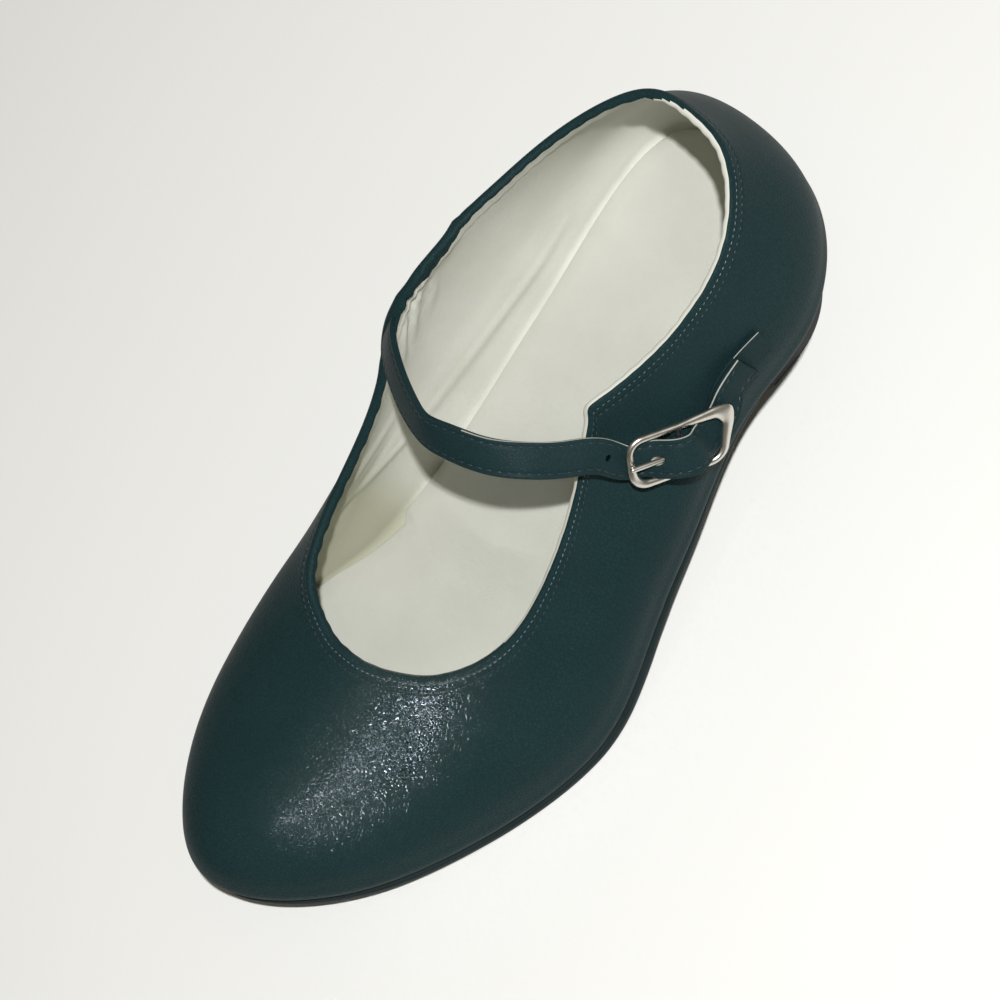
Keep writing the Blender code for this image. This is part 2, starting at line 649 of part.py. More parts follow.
def build_prong(mat):
    """Prong curled round the middle bar and lying over the near bar."""
    reach = BAR_RADIUS + GAP + PRONG_RADIUS
    middle, long, across, face = buckle_axes()
    line = []
    for degrees in PRONG_LOOP_DEGREES:
        turn = math.radians(degrees)
        line.append(middle + (long * math.cos(turn) + face * math.sin(turn)) * reach)
    for share in (0.25, 0.5, 0.75, 1.0):
        line.append(in_buckle(share * PRONG_LONG, 0.0, reach + share * PRONG_RISE))
    line = np.array(line)
    travel = unit(np.gradient(line, axis=0))
    side = np.repeat(across[None], len(line), 0)
    points, faces = tube(round_section(PRONG_RADIUS, WIRE_CORNERS), line, side, np.cross(travel, side))
    return make_object("buckle_prong", points, faces, mat)


def main():
    for obj in list(bpy.data.objects):
        bpy.data.objects.remove(obj, do_unlink=True)
    build_upper(material("upper_leather", (0.020, 0.030, 0.033), 0.42))
    build_insole(material("insole_lining", (0.62, 0.61, 0.53), 0.75))
    build_outsole(material("outsole_leather", (0.012, 0.014, 0.015), 0.55))
    build_heel(material("heel_cover", (0.018, 0.024, 0.026), 0.45))
    build_strap(material("strap_leather", (0.020, 0.030, 0.033), 0.42))
    build_tab(material("tab_leather", (0.020, 0.030, 0.033), 0.45))
    build_frame(material("frame_metal", (0.72, 0.70, 0.66), 0.18, 1.0))
    build_prong(material("prong_metal", (0.72, 0.70, 0.66), 0.18, 1.0))


main()
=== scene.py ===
"""Looks of a left flamenco shoe: leather, lining, seams and buckle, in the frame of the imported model.

Sizes are in millimetres in the shoe's own axes: x to the outer side, s from the back of the heel to the
toe, z up from the floor. The row frame is the same in metres, with y = the middle of the length minus s.
"""

import logging
import math
from dataclasses import dataclass
from enum import Enum
from functools import cache
from typing import Any, NamedTuple, Optional, Sequence

import bmesh
import bpy
import numpy as np
from mathutils import Matrix


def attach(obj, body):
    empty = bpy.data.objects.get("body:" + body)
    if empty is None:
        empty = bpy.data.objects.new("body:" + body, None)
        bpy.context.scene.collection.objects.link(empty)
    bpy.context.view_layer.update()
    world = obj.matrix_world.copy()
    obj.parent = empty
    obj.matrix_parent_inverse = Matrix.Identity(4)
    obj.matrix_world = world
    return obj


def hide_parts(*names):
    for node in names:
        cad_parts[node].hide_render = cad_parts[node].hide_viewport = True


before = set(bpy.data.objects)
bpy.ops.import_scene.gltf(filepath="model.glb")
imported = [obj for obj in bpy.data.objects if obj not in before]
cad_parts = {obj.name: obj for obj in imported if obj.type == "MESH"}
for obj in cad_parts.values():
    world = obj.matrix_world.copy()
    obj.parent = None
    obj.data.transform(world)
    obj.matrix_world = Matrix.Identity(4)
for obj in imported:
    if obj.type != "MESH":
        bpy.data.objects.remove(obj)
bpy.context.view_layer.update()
LOG = logging.getLogger("flamenco_shoe")
Array = np.ndarray
Object = bpy.types.Object
Socket = bpy.types.NodeSocket
Tree = bpy.types.NodeTree
Pair = tuple[float, float]
Place = tuple[float, float, float]

MM = 0.001
FULL_TURN = 2.0 * math.pi
# Middle of the shoe across and along, which is nought in the row frame
MID_X = 2.75
MID_S = 105.4
# Air between pieces that meet, the upper's wall, and the distance at which points are welded
GAP = 0.3
WALL = 1.8
WELD = 0.0005
# Share of a fold's length over which its ends are held, and the power of its fade
FOLD_END = 0.04
FOLD_FADE = 0.6
# Spans of cloud noise and of relief that colour and gloss are spread over
CLOUD_SPAN = {"From Min": 0.3, "From Max": 0.7}
VALLEY_SPAN = {"From Min": 0.1, "From Max": 0.7}
# Weight of fine noise on fibres and on pebbles, width of a pebble's soft edge, size of its wander in grains
FIBRE_FINE = 0.4
PEBBLE_FINE = 0.35
PEBBLE_EDGE = 0.35
WANDER = 3.0


class Section(NamedTuple):
    """A wall section: its foot, its topline point, its leans at both (degrees), and its foot's pull."""

    name: str
    foot_s: float
    foot_x: float
    rim_s: float
    rim_x: float
    rim_z: float
    foot_lean: float
    rim_lean: float
    foot_pull: float = 0.40


SECTIONS = (
    Section("heel_back", 0.0, -3.8, 7.5, -1.8, 77.4, 22, 16),
    Section("outer_heel_round", 6.2, 17.4, 10.9, 12.3, 77.0, 22, 16),
    Section("outer_heel_side", 24.7, 30.3, 24.8, 23.7, 74.2, 20, 16),
    Section("outer_seat_front", 48.6, 31.0, 41.5, 26.2, 70.5, 18, 12),
    Section("outer_waist", 75.0, 35.6, 57.0, 23.7, 67.2, 16, 12),
    Section("outer_corner_back", 88.4, 37.9, 66.9, 21.1, 66.7, 14.5, 12.7),
    Section("outer_corner", 93.0, 38.8, 70.2, 20.4, 66.4, 14, 13),
    Section("outer_corner_front", 95.4, 39.3, 71.3, 20.8, 65.0, 14, 13.5),
    Section("outer_strap", 101.0, 40.5, 75.0, 22.0, 62.0, 14, 15),
    Section("outer_throat", 119.2, 45.0, 93.1, 26.0, 49.6, 12, 26),
    Section("outer_joint", 134.2, 45.3, 117.1, 28.5, 40.7, 12, 40, 0.42),
    Section("outer_ball", 150.1, 42.0, 134.2, 22.9, 39.1, 10, 52, 0.42),
    Section("outer_toe_side", 172.2, 34.1, 143.4, 12.6, 39.3, 8, 60),
    Section("outer_toe_round", 194.3, 21.7, 147.2, 4.0, 39.6, 6, 62, 0.36),
    Section("toe_tip", 212.0, -5.0, 148.2, -3.2, 39.7, 5, 62, 0.34),
    Section("inner_toe_round", 196.9, -27.8, 148.0, -8.1, 39.5, 6, 62, 0.36),
    Section("inner_toe_side", 174.0, -37.9, 145.6, -14.6, 40.5, 8, 60),
    Section("inner_ball", 150.1, -39.7, 138.3, -23.0, 42.3, 10, 50, 0.42),
    Section("inner_joint", 134.2, -35.5, 122.8, -27.8, 45.6, 12, 38, 0.42),
    Section("inner_throat", 119.2, -33.0, 101.6, -30.3, 53.3, 12, 24),
    Section("inner_strap", 98.9, -30.7, 81.8, -33.0, 67.6, 14, 10),
    Section("inner_waist", 75.0, -29.1, 65.2, -33.6, 72.5, 16, 8),
    Section("inner_seat_front", 48.6, -28.8, 45.8, -30.7, 72.8, 18, 12),
    Section("inner_heel_side", 24.7, -30.2, 26.1, -25.6, 73.9, 20, 16),
    Section("inner_heel_round", 6.2, -25.2, 10.9, -15.4, 76.7, 22, 16),
)


class Tread(NamedTuple):
    """Height of the foot line over the floor at one place along the shoe."""

    name: str
    s: float
    z: float


TREAD = (
    Tread("behind_heel", -6.0, 33.5),
    Tread("heel_back", 0.0, 33.0),
    Tread("seat", 22.0, 31.4),
    Tread("breast", 44.0, 28.4),
    Tread("arch_high", 66.0, 22.6),
    Tread("arch_mid", 88.0, 14.6),
    Tread("arch_low", 108.0, 7.5),
    Tread("ball_back", 122.0, 4.4),
    Tread("tread_start", 131.0, 3.5),
    Tread("tread_end", 155.0, 3.5),
    Tread("toe_lift", 168.0, 4.4),
    Tread("toe_rise", 182.0, 6.4),
    Tread("toe_round", 195.0, 9.0),
    Tread("toe_near", 205.0, 11.5),
    Tread("toe_tip", 212.0, 13.5),
    Tread("past_toe", 218.0, 15.4),
)


class HeelRow(NamedTuple):
    """A level of the heel: share of the drop, width kept, and how far the back and the breast come in."""

    name: str
    drop: float
    width: float
    back_in: float
    breast_in: float


HEEL_ROWS = (
    HeelRow("seat", 0.0, 1.0, 0.0, 0.0),
    HeelRow("neck", 0.14, 0.88, 1.8, 1.2),
    HeelRow("hollow", 0.36, 0.74, 4.0, 3.0),
    HeelRow("waist", 0.66, 0.64, 5.6, 4.8),
    HeelRow("tip", 1.0, 0.61, 6.0, 5.6),
)


class BandRow(NamedTuple):
    """Middle of a leather band at one place, and the way its face looks."""

    name: str
    x: float
    s: float
    z: float
    face_x: float
    face_s: float
    face_z: float


STRAP_BRIDGE = (
    BandRow("root", -31.5, 85.3, 65.8, -0.96, 0.10, 0.24),
    BandRow("rise", -28.2, 87.3, 68.0, -0.66, 0.48, 0.58),
    BandRow("climb", -19.2, 91.8, 70.8, -0.46, 0.60, 0.66),
    BandRow("shoulder", -8.7, 95.3, 73.0, -0.30, 0.70, 0.65),
    BandRow("inner_top", -4.0, 96.0, 73.8, -0.10, 0.74, 0.66),
    BandRow("top", 2.4, 94.8, 74.2, 0.15, 0.55, 0.82),
    BandRow("outer_top", 12.3, 91.2, 73.0, 0.36, 0.33, 0.87),
    BandRow("fall", 17.9, 87.0, 70.0, 0.52, 0.00, 0.85),
    BandRow("topline", 22.3, 81.6, 65.2, 0.64, -0.12, 0.76),
    BandRow("quarter", 26.2, 76.0, 59.8, 0.74, -0.16, 0.65),
)
STRAP_END = (
    BandRow("free", 34.3, 48.2, 49.2, 0.966, 0.05, 0.25),
    BandRow("end", 34.2, 41.0, 51.1, 0.967, 0.09, 0.24),
)
TAB_END = (
    BandRow("sewn", 32.75, 48.1, 48.7, 0.966, 0.05, 0.25),
    BandRow("past_strap", 32.75, 41.0, 50.4, 0.969, 0.09, 0.23),
    BandRow("end", 33.2, 34.4, 50.4, 0.977, 0.03, 0.21),
)


class BuckleRow(NamedTuple):
    """Middle of a band in the buckle's own axes."""

    name: str
    along: float
    across: float
    height: float


FRAME_HALF_LONG = 11.7
PRONG_HOLE = BuckleRow("prong_hole", 4.6, 0.0, 1.7)
STRAP_IN_BUCKLE = (
    BuckleRow("near_bar", FRAME_HALF_LONG, 0.0, -2.0),
    BuckleRow("climb", 8.0, 0.0, -0.9),
    PRONG_HOLE,
    BuckleRow("over_bar", 1.2, 0.0, 3.6),
    BuckleRow("past_bar", -1.6, 0.0, 3.5),
    BuckleRow("drop", -4.8, 0.1, 0.6),
    BuckleRow("far_bar", -8.2, 1.0, -1.95),
    BuckleRow("far_corner", -11.2, 3.4, -2.1),
)
TAB_IN_BUCKLE = (
    BuckleRow("leaves_loop", -3.2, 0.2, -2.3),
    BuckleRow("under_strap", -8.2, 1.0, -3.55),
    BuckleRow("far_corner", -11.2, 3.4, -3.75),
)


class Corner(NamedTuple):
    """A frame corner in the buckle's plane, its radius, and the bar's width there and after it."""

    name: str
    along: float
    across: float
    radius: float
    width: float
    bar_width: float


CORNERS = (
    Corner("strap_side_back", FRAME_HALF_LONG, 5.4, 3.4, 0.95, 0.78),
    Corner("heel_side_back", -FRAME_HALF_LONG - 0.7, 5.9, 3.0, 1.60, 1.15),
    Corner("heel_side_front", -FRAME_HALF_LONG + 2.6, -5.7, 4.0, 0.90, 0.80),
    Corner("strap_side_front", FRAME_HALF_LONG, -5.4, 3.2, 1.15, 0.95),
)


class Wall(Enum):
    """Side of the shoe that a fold lies on, as the sign of x."""

    INNER = -1
    OUTER = 1


@dataclass(frozen=True)
class Fold:
    """A soft ridge (or trough, below zero) on a side wall, between two places given as s and z."""

    name: str
    wall: Wall
    start: Pair
    end: Pair
    bow: float
    height: float
    width: float

    def relief(self, points: Array) -> Array:
        """Height of the fold: a bell across its bowed line, fading to nothing at both ends.

        Args:
            points: x, s, z along the last axis.

        Returns:
            The relief in millimetres, one value per point.
        """
        start = np.array(self.start)
        run = np.array(self.end) - start
        long = float(np.linalg.norm(run))
        way = run / long
        off = points[..., 1:] - start
        share = off @ way / long
        inside = np.clip(share, 0.0, 1.0)
        across = off @ np.array([-way[1], way[0]]) - 4.0 * self.bow * inside * (1.0 - inside)
        past = (share - inside) * long
        fade = np.sin(math.pi * np.clip(inside, FOLD_END, 1.0 - FOLD_END)) ** FOLD_FADE
        hill = np.exp(-(across ** 2 + past ** 2) / self.width ** 2)
        return self.height * hill * fade * (points[..., 0] * self.wall.value > 0)


SKIN_FOLDS = (
    Fold("collar_pull_back", Wall.INNER, (55.0, 71.5), (63.0, 66.0), 0.6, 1.30, 2.4),
    Fold("collar_pull_mid", Wall.INNER, (66.0, 68.0), (73.0, 60.0), 0.3, -0.60, 2.0),
    Fold("collar_pull_front", Wall.INNER, (72.0, 68.0), (90.0, 58.0), 1.2, 2.00, 3.4),
    Fold("quarter_pinch", Wall.OUTER, (76.0, 57.0), (88.0, 42.0), 1.5, -0.40, 4.5),
)
COLLAR_ROLL = Fold("collar_roll", Wall.INNER, (57.0, 72.6), (79.0, 70.0), -0.6, 1.50, 4.2)
LINING_FOLDS = (
    Fold("wall_crease_back", Wall.INNER, (40.0, 38.6), (92.0, 28.2), 0.6, 0.50, 1.3),
    Fold("wall_slack_back", Wall.INNER, (40.0, 41.5), (92.0, 31.1), 0.6, 0.50, 4.0),
    Fold("wall_crease_front", Wall.INNER, (86.0, 29.6), (130.0, 26.8), -1.6, 0.45, 1.2),
    Fold("wall_slack_front", Wall.INNER, (86.0, 32.4), (130.0, 29.6), -1.6, 0.40, 4.0),
    Fold("root_rumple_a", Wall.INNER, (73.0, 66.0), (83.0, 54.0), 1.0, 0.60, 1.1),
    Fold("root_rumple_b", Wall.INNER, (76.0, 66.0), (86.0, 52.0), 1.4, -0.60, 0.9),
    Fold("root_rumple_c", Wall.INNER, (79.0, 65.0), (90.0, 50.0), 0.8, 0.60, 1.2),
    Fold("root_rumple_d", Wall.INNER, (69.0, 66.0), (76.0, 56.0), -1.0, 0.40, 1.4),
    Fold("vamp_streak_a", Wall.INNER, (98.0, 38.0), (126.0, 30.0), 0.8, 0.40, 1.5),
    Fold("vamp_streak_b", Wall.INNER, (102.0, 33.0), (132.0, 21.0), 0.8, -0.35, 1.4),
    Fold("outer_slack", Wall.OUTER, (40.0, 58.0), (72.0, 50.0), -2.0, 0.50, 3.5),
)


def to_linear(code: str) -> tuple[float, ...]:
    """Linear RGBA of an sRGB colour given as "#rrggbb", with an alpha of one."""
    part = np.array([int(code[i:i + 2], 16) for i in (1, 3, 5)]) / 255.0
    return (*np.where(part <= 0.04045, part / 12.92, ((part + 0.055) / 1.055) ** 2.4).tolist(), 1.0)


def per_mm(size: float) -> float:
    """Texture scale, on Object coordinates in metres, that gives features of a size in millimetres."""
    return 1.0 / (size * MM)


def set_inputs(tree: Tree, node: bpy.types.Node, links: dict[Any, Any]) -> None:
    """Sets a node's inputs, by name or index, to constants or to other nodes' outputs.

    Args:
        tree: The node's tree.
        node: The node.
        links: Input name or index to its constant or socket.
    """
    for key, value in links.items():
        if isinstance(value, Socket):
            tree.links.new(value, node.inputs[key])
        else:
            node.inputs[key].default_value = value


def add_node(tree: Tree, kind: str, links: dict[Any, Any], out: Any = 0, **settings: Any) -> Socket:
    """Adds a shader node with its settings and inputs.

    Args:
        tree: The node tree that gets it.
        kind: Blender's node type, without the start that all share.
        links: Input name or index to its constant or socket.
        out: Name or index of the output that is wanted.
        **settings: Properties of the node.

    Returns:
        That output.
    """
    node = tree.nodes.new("ShaderNode" + kind)
    for key, value in settings.items():
        setattr(node, key, value)
    set_inputs(tree, node, links)
    return node.outputs[out]


class Relief(Enum):
    """How a finish's small relief is made."""

    PEBBLE = "pebble"
    FIBRE = "fibre"


class Step(NamedTuple):
    """A soft step along an axis of the row frame: where it starts and where it is full, in millimetres."""

    axis: str
    start: float
    full: float


@dataclass(frozen=True)
class Finish:
    """A procedural finish: two mottled colours, a darker valley, small relief, and a roughness range."""

    name: str
    shade: str
    tint: str
    valley: str
    cloud_mm: float
    relief: Relief
    grain_mm: float
    depth_mm: float
    fine_mm: float
    rough: Pair
    metallic: float = 0.0
    specular: float = 0.5
    coat_rough: float = 0.2
    coat_ior: float = 1.5
    valley_share: float = 0.5
    stretch: Place = (1.0, 1.0, 1.0)
    wax: tuple[Step, ...] = ()
    # Area of painted shade, and its colour: there the base colour is darkened to stand in for shade
    painted_shade: tuple[Step, ...] = ()
    painted_shade_colour: str = "#b4b4a0"

    @cache
    def make(self) -> bpy.types.Material:
        """Makes the material once: cloud noise mixes the colours, cells or fibres give valleys and bump.

        Returns:
            The material, on Object coordinates.
        """
        mat = bpy.data.materials.new(self.name)
        mat.use_nodes = True
        tree = mat.node_tree
        place = add_node(tree, "TexCoord", {}, "Object")
        cloud = add_node(tree, "TexNoise", {
            "Vector": place, "Scale": per_mm(self.cloud_mm), "Detail": 4.0, "Roughness": 0.55}, "Fac")
        height = self.height(tree, place)
        spread = add_node(tree, "MapRange", {"Value": cloud, **CLOUD_SPAN})
        cover = add_node(tree, "Mix", {0: spread, 6: to_linear(self.shade), 7: to_linear(self.tint)}, 2,
                         data_type="RGBA")
        hollow = add_node(tree, "MapRange", {
            "Value": height, **VALLEY_SPAN, "To Min": 1.0 - self.valley_share})
        colour = add_node(tree, "Mix", {0: hollow, 6: to_linear(self.valley), 7: cover}, 2, data_type="RGBA")
        # Painted shade: inside its area the colour is mixed towards the darker shade colour
        if self.painted_shade:
            painted_shade_weight = self.area(tree, place, self.painted_shade)
            colour = add_node(tree, "Mix", {0: painted_shade_weight, 6: colour, 7: to_linear(self.painted_shade_colour)}, 2,
                              data_type="RGBA")
        bump = add_node(tree, "Bump", {"Strength": 1.0, "Distance": self.depth_mm * MM, "Height": height})
        dull = add_node(tree, "MapRange", {
            "Value": cloud, **CLOUD_SPAN, "To Min": self.rough[0], "To Max": self.rough[1]})
        links = {"Base Color": colour, "Roughness": dull, "Normal": bump, "Metallic": self.metallic,
                 "Specular IOR Level": self.specular, "Coat Roughness": self.coat_rough,
                 "Coat IOR": self.coat_ior}
        if self.wax:
            links.update({"Coat Weight": self.area(tree, place, self.wax), "Coat Normal": bump})
        set_inputs(tree, tree.nodes["Principled BSDF"], links)
        return mat

    @staticmethod
    def area(tree: Tree, place: Socket, steps: Sequence[Step]) -> Socket:
        """Weight of a soft-edged area: the product of smooth steps along the axes, each from nought to one.

        Args:
            tree: The material's node tree.
            place: Object coordinates.
            steps: The steps.

        Returns:
            The socket that carries the weight.
        """
        axes = add_node(tree, "SeparateXYZ", {"Vector": place}).node.outputs
        weight: Any = 1.0
        for step in steps:
            share = add_node(tree, "MapRange", {
                "Value": axes[step.axis], "From Min": step.start * MM, "From Max": step.full * MM},
                interpolation_type="SMOOTHSTEP")
            weight = add_node(tree, "Math", {0: share, 1: weight}, operation="MULTIPLY")
        return weight

    def height(self, tree: Tree, place: Socket) -> Socket:
        """Relief height from nought to about one: bent cells with soft valleys, or plain fibre noise.

        Args:
            tree: The material's node tree.
            place: Object coordinates.

        Returns:
            The socket that carries the height.
        """
        laid = add_node(tree, "Mapping", {"Vector": place, "Scale": self.stretch})
        fine = add_node(tree, "TexNoise", {
            "Vector": laid, "Scale": per_mm(self.fine_mm), "Detail": 3.0}, "Fac")
        if self.relief is Relief.FIBRE:
            coarse = add_node(tree, "TexNoise", {
                "Vector": laid, "Scale": per_mm(self.grain_mm), "Detail": 2.0}, "Fac")
            return add_node(tree, "Math", {0: fine, 1: FIBRE_FINE, 2: coarse}, operation="MULTIPLY_ADD")
        wander = add_node(tree, "TexNoise", {
            "Vector": laid, "Scale": per_mm(WANDER * self.grain_mm), "Detail": 1.0}, "Color")
        bent = add_node(tree, "VectorMath", {0: wander, 1: (self.grain_mm * MM,) * 3, 2: laid},
                        operation="MULTIPLY_ADD")
        cells = add_node(tree, "TexVoronoi", {"Vector": bent, "Scale": per_mm(self.grain_mm)}, "Distance",
                         feature="DISTANCE_TO_EDGE")
        pebble = add_node(tree, "MapRange", {"Value": cells, "From Max": PEBBLE_EDGE},
                          interpolation_type="SMOOTHSTEP")
        return add_node(tree, "Math", {0: fine, 1: PEBBLE_FINE, 2: pebble}, operation="MULTIPLY_ADD")


# Fine-grained calf nappa, drum-dyed black and matt; wax on the front of the vamp makes its pebbles sparkle
UPPER_LEATHER = Finish("black_grained_nappa", "#1d3235", "#213739", "#152629", 26.0, Relief.PEBBLE, 0.9,
                       0.050, 0.3, (0.42, 0.50), specular=0.05, coat_rough=0.15, coat_ior=1.8,
                       wax=(Step("X", -8.0, 8.0), Step("X", 34.0, 22.0), Step("Y", -12.0, -34.0),
                            Step("Y", -90.0, -76.0), Step("Z", 21.0, 29.0)))
# The same nappa, split thinner and pressed flatter for straps: a finer, quieter grain
STRAP_LEATHER = Finish("black_strap_nappa", "#1c3033", "#203538", "#152427", 18.0, Relief.PEBBLE, 0.75,
                       0.030, 0.25, (0.44, 0.52), specular=0.07)
# Vegetable-tanned cream lining skin: matt, with faint pores; at the front of its inner side a painted shade
# darkens it
LINING_SKIN = Finish("cream_lining_skin", "#d8d9ce", "#dfe0d7", "#cacabd", 14.0, Relief.FIBRE, 1.1, 0.05,
                     0.3, (0.55, 0.70), specular=0.35, valley_share=0.25,
                     painted_shade=(Step("X", -18.0, -28.0), Step("Y", 2.0, -18.0)))
# The sock is cut from a smoother, greyer piece of the same skin
SOCK_SKIN = Finish("cream_sock_skin", "#c3c4bb", "#cacbc2", "#b8b9af", 20.0, Relief.FIBRE, 1.4, 0.04, 0.35,
                   (0.50, 0.66), specular=0.4, valley_share=0.2)
# Cut edge of strap leather: undyed pale core, fibrous
RAW_EDGE = Finish("pale_cut_edge", "#9a9c94", "#b9bab0", "#6f716a", 4.0, Relief.FIBRE, 0.35, 0.05, 0.12,
                  (0.6, 0.75))
# Bend sole leather, dyed black and burnished at the edge: dull, its fibres drawn coarse enough to show
SOLE_LEATHER = Finish("black_bend_leather", "#1a2627", "#202d2e", "#141e1f", 12.0, Relief.FIBRE, 0.9, 0.05,
                      0.2, (0.55, 0.65), specular=0.12)
# Moulded hard rubber of the heel's top piece: a flat black without the leather's blue
TIP_RUBBER = Finish("black_tip_rubber", "#171a1b", "#1e2122", "#101213", 6.0, Relief.FIBRE, 0.5, 0.05, 0.2,
                    (0.6, 0.75))
# Nickel-plated zinc casting, tumbled and polished: a warm silver with soft reflections
NICKEL = Finish("polished_nickel_plate", "#d2cec6", "#dedad2", "#c6c2ba", 5.0, Relief.FIBRE, 1.2, 0.006,
                0.2, (0.26, 0.34), metallic=1.0, valley_share=0.2, stretch=(1.0, 0.25, 1.0))
# Waxed polyester thread, black, with the light its twist catches painted into a grey colour: a painted sheen
SHEEN_PAINTED_THREAD = Finish("black_waxed_thread", "#5e7078", "#7c8e96", "#36444a", 3.0, Relief.FIBRE, 0.25, 0.03, 0.1,
                (0.18, 0.26), specular=0.7)
# The same thread in the second row and on the strap, sunk deeper and duller, near black without the painted
# sheen
SUNK_THREAD = Finish("black_sunk_thread", "#222f33", "#2c3a3f", "#182327", 3.0, Relief.FIBRE, 0.25, 0.03,
                     0.1, (0.3, 0.4), specular=0.4)
# Pale matt paper sweep under the shoe
PAPER = Finish("pale_paper_sweep", "#f4f4f2", "#f6f6f4", "#f1f1ef", 300.0, Relief.FIBRE, 2.0, 0.02, 0.6,
               (0.75, 0.85), specular=0.2, valley_share=0.2)


def unit(vectors: Array) -> Array:
    """Vectors scaled to length one along their last axis."""
    return vectors / np.linalg.norm(vectors, axis=-1, keepdims=True)


def run_of(lines: Array) -> Array:
    """Distance travelled along lines of points, from nought at the first."""
    steps = np.linalg.norm(np.diff(lines, axis=-2), axis=-1)
    return np.concatenate([np.zeros_like(steps[..., :1]), np.cumsum(steps, -1)], -1)


def along(run: Array, values: Array, at: Array) -> Array:
    """Rows of numbers carried along a line, read at distances of any shape by straight interpolation."""
    return np.stack([np.interp(at, run, column) for column in values.T], -1)


def bell(values: Array, middle: Any, wide: float) -> Array:
    """A bell over values: one at its middle, and one part in e at its width."""
    return np.exp(-((values - middle) / wide) ** 2)


def fall(values: Array, middle: float, soft: float) -> Array:
    """A logistic fall from one to nought over values, half at its middle."""
    return 1.0 / (1.0 + np.exp((values - middle) / soft))


def leaning(plan: Array, degrees: Array) -> Array:
    """Ways that lean by some degrees from upright towards a way in plan."""
    return np.hstack([plan * np.sin(np.radians(degrees)), np.cos(np.radians(degrees))])


def rows_of(table: Sequence[tuple]) -> Array:
    """Numbers of a table's rows, without their names."""
    return np.array([row[1:] for row in table], float)


def to_row(points: Array) -> Array:
    """Shoe x, s, z in millimetres to the row frame in metres."""
    return np.stack([points[..., 0] - MID_X, MID_S - points[..., 1], points[..., 2]], -1) * MM


class Ends(Enum):
    """How a spline's slopes are found: free ends, a closed ring, or slopes that never overshoot."""

    FREE = "free"
    CLOSED = "closed"
    STEADY = "steady"


class Spline:
    """Cubics through table rows, with one slope for each knot."""

    def __init__(self, knots: Array, values: Array, ends: Ends = Ends.FREE) -> None:
        """Works out the slopes: second derivatives agree at the knots, or rises are harmonic means.

        Args:
            knots: Rising parameters.
            values: One row per knot; a closed spline repeats its first row at the end.
            ends: How the slopes are found.
        """
        self.knots = np.asarray(knots, float)
        self.values = np.asarray(values, float)
        step = np.diff(self.knots)
        gap = step[:, None]
        rise = np.diff(self.values, axis=0) / gap
        if ends is Ends.CLOSED:
            before = np.roll(step, 1)
            left = np.diag(2.0 * (before + step))
            left = left + np.roll(np.diag(step), -1, 1) + np.roll(np.diag(before), 1, 1)
            slopes = np.linalg.solve(left, 3.0 * (gap * np.roll(rise, 1, 0) + before[:, None] * rise))
            self.slopes = np.vstack([slopes, slopes[:1]])
        elif ends is Ends.FREE:
            mid = np.arange(1, len(step))
            left = np.zeros((len(step) + 1, len(step) + 1))
            left[mid, mid - 1] = step[1:]
            left[mid, mid] = 2.0 * (step[:-1] + step[1:])
            left[mid, mid + 1] = step[:-1]
            left[0, :2] = (2.0, 1.0)
            left[-1, -2:] = (1.0, 2.0)
            inside = gap[1:] * rise[:-1] + gap[:-1] * rise[1:]
            self.slopes = np.linalg.solve(left, 3.0 * np.vstack([rise[:1], inside, rise[-1:]]))
        else:
            same = rise[:-1] * rise[1:] > 0
            first = 2.0 * gap[1:] + gap[:-1]
            second = gap[1:] + 2.0 * gap[:-1]
            low = np.where(same, rise[:-1], 1.0)
            high = np.where(same, rise[1:], 1.0)
            mean = np.where(same, (first + second) / (first / low + second / high), 0.0)
            self.slopes = np.vstack([rise[:1], mean, rise[-1:]])

    def read(self, at: Array) -> tuple[Array, Array]:
        """Values and first derivatives at the parameters given.

        Args:
            at: Parameters, of any shape.

        Returns:
            The rows and their derivatives, along the last axis.
        """
        k = np.clip(np.searchsorted(self.knots, at, side="right") - 1, 0, len(self.knots) - 2)
        h = (self.knots[k + 1] - self.knots[k])[..., None]
        t = (at - self.knots[k])[..., None] / h
        m = self.slopes[k] * h
        n = self.slopes[k + 1] * h
        gain = self.values[k + 1] - self.values[k]
        bend = 3.0 * gain - 2.0 * m - n
        twist = m + n - 2.0 * gain
        value = self.values[k] + m * t + bend * t ** 2 + twist * t ** 3
        return value, (m + 2.0 * bend * t + 3.0 * twist * t ** 2) / h


TREAD_LINE = Spline(rows_of(TREAD)[:, 0], rows_of(TREAD)[:, 1:], Ends.STEADY)


def tread_height(s: Array) -> Array:
    """Height of the foot line at s: a monotone cubic through the TREAD rows."""
    return TREAD_LINE.read(s)[0][..., 0]


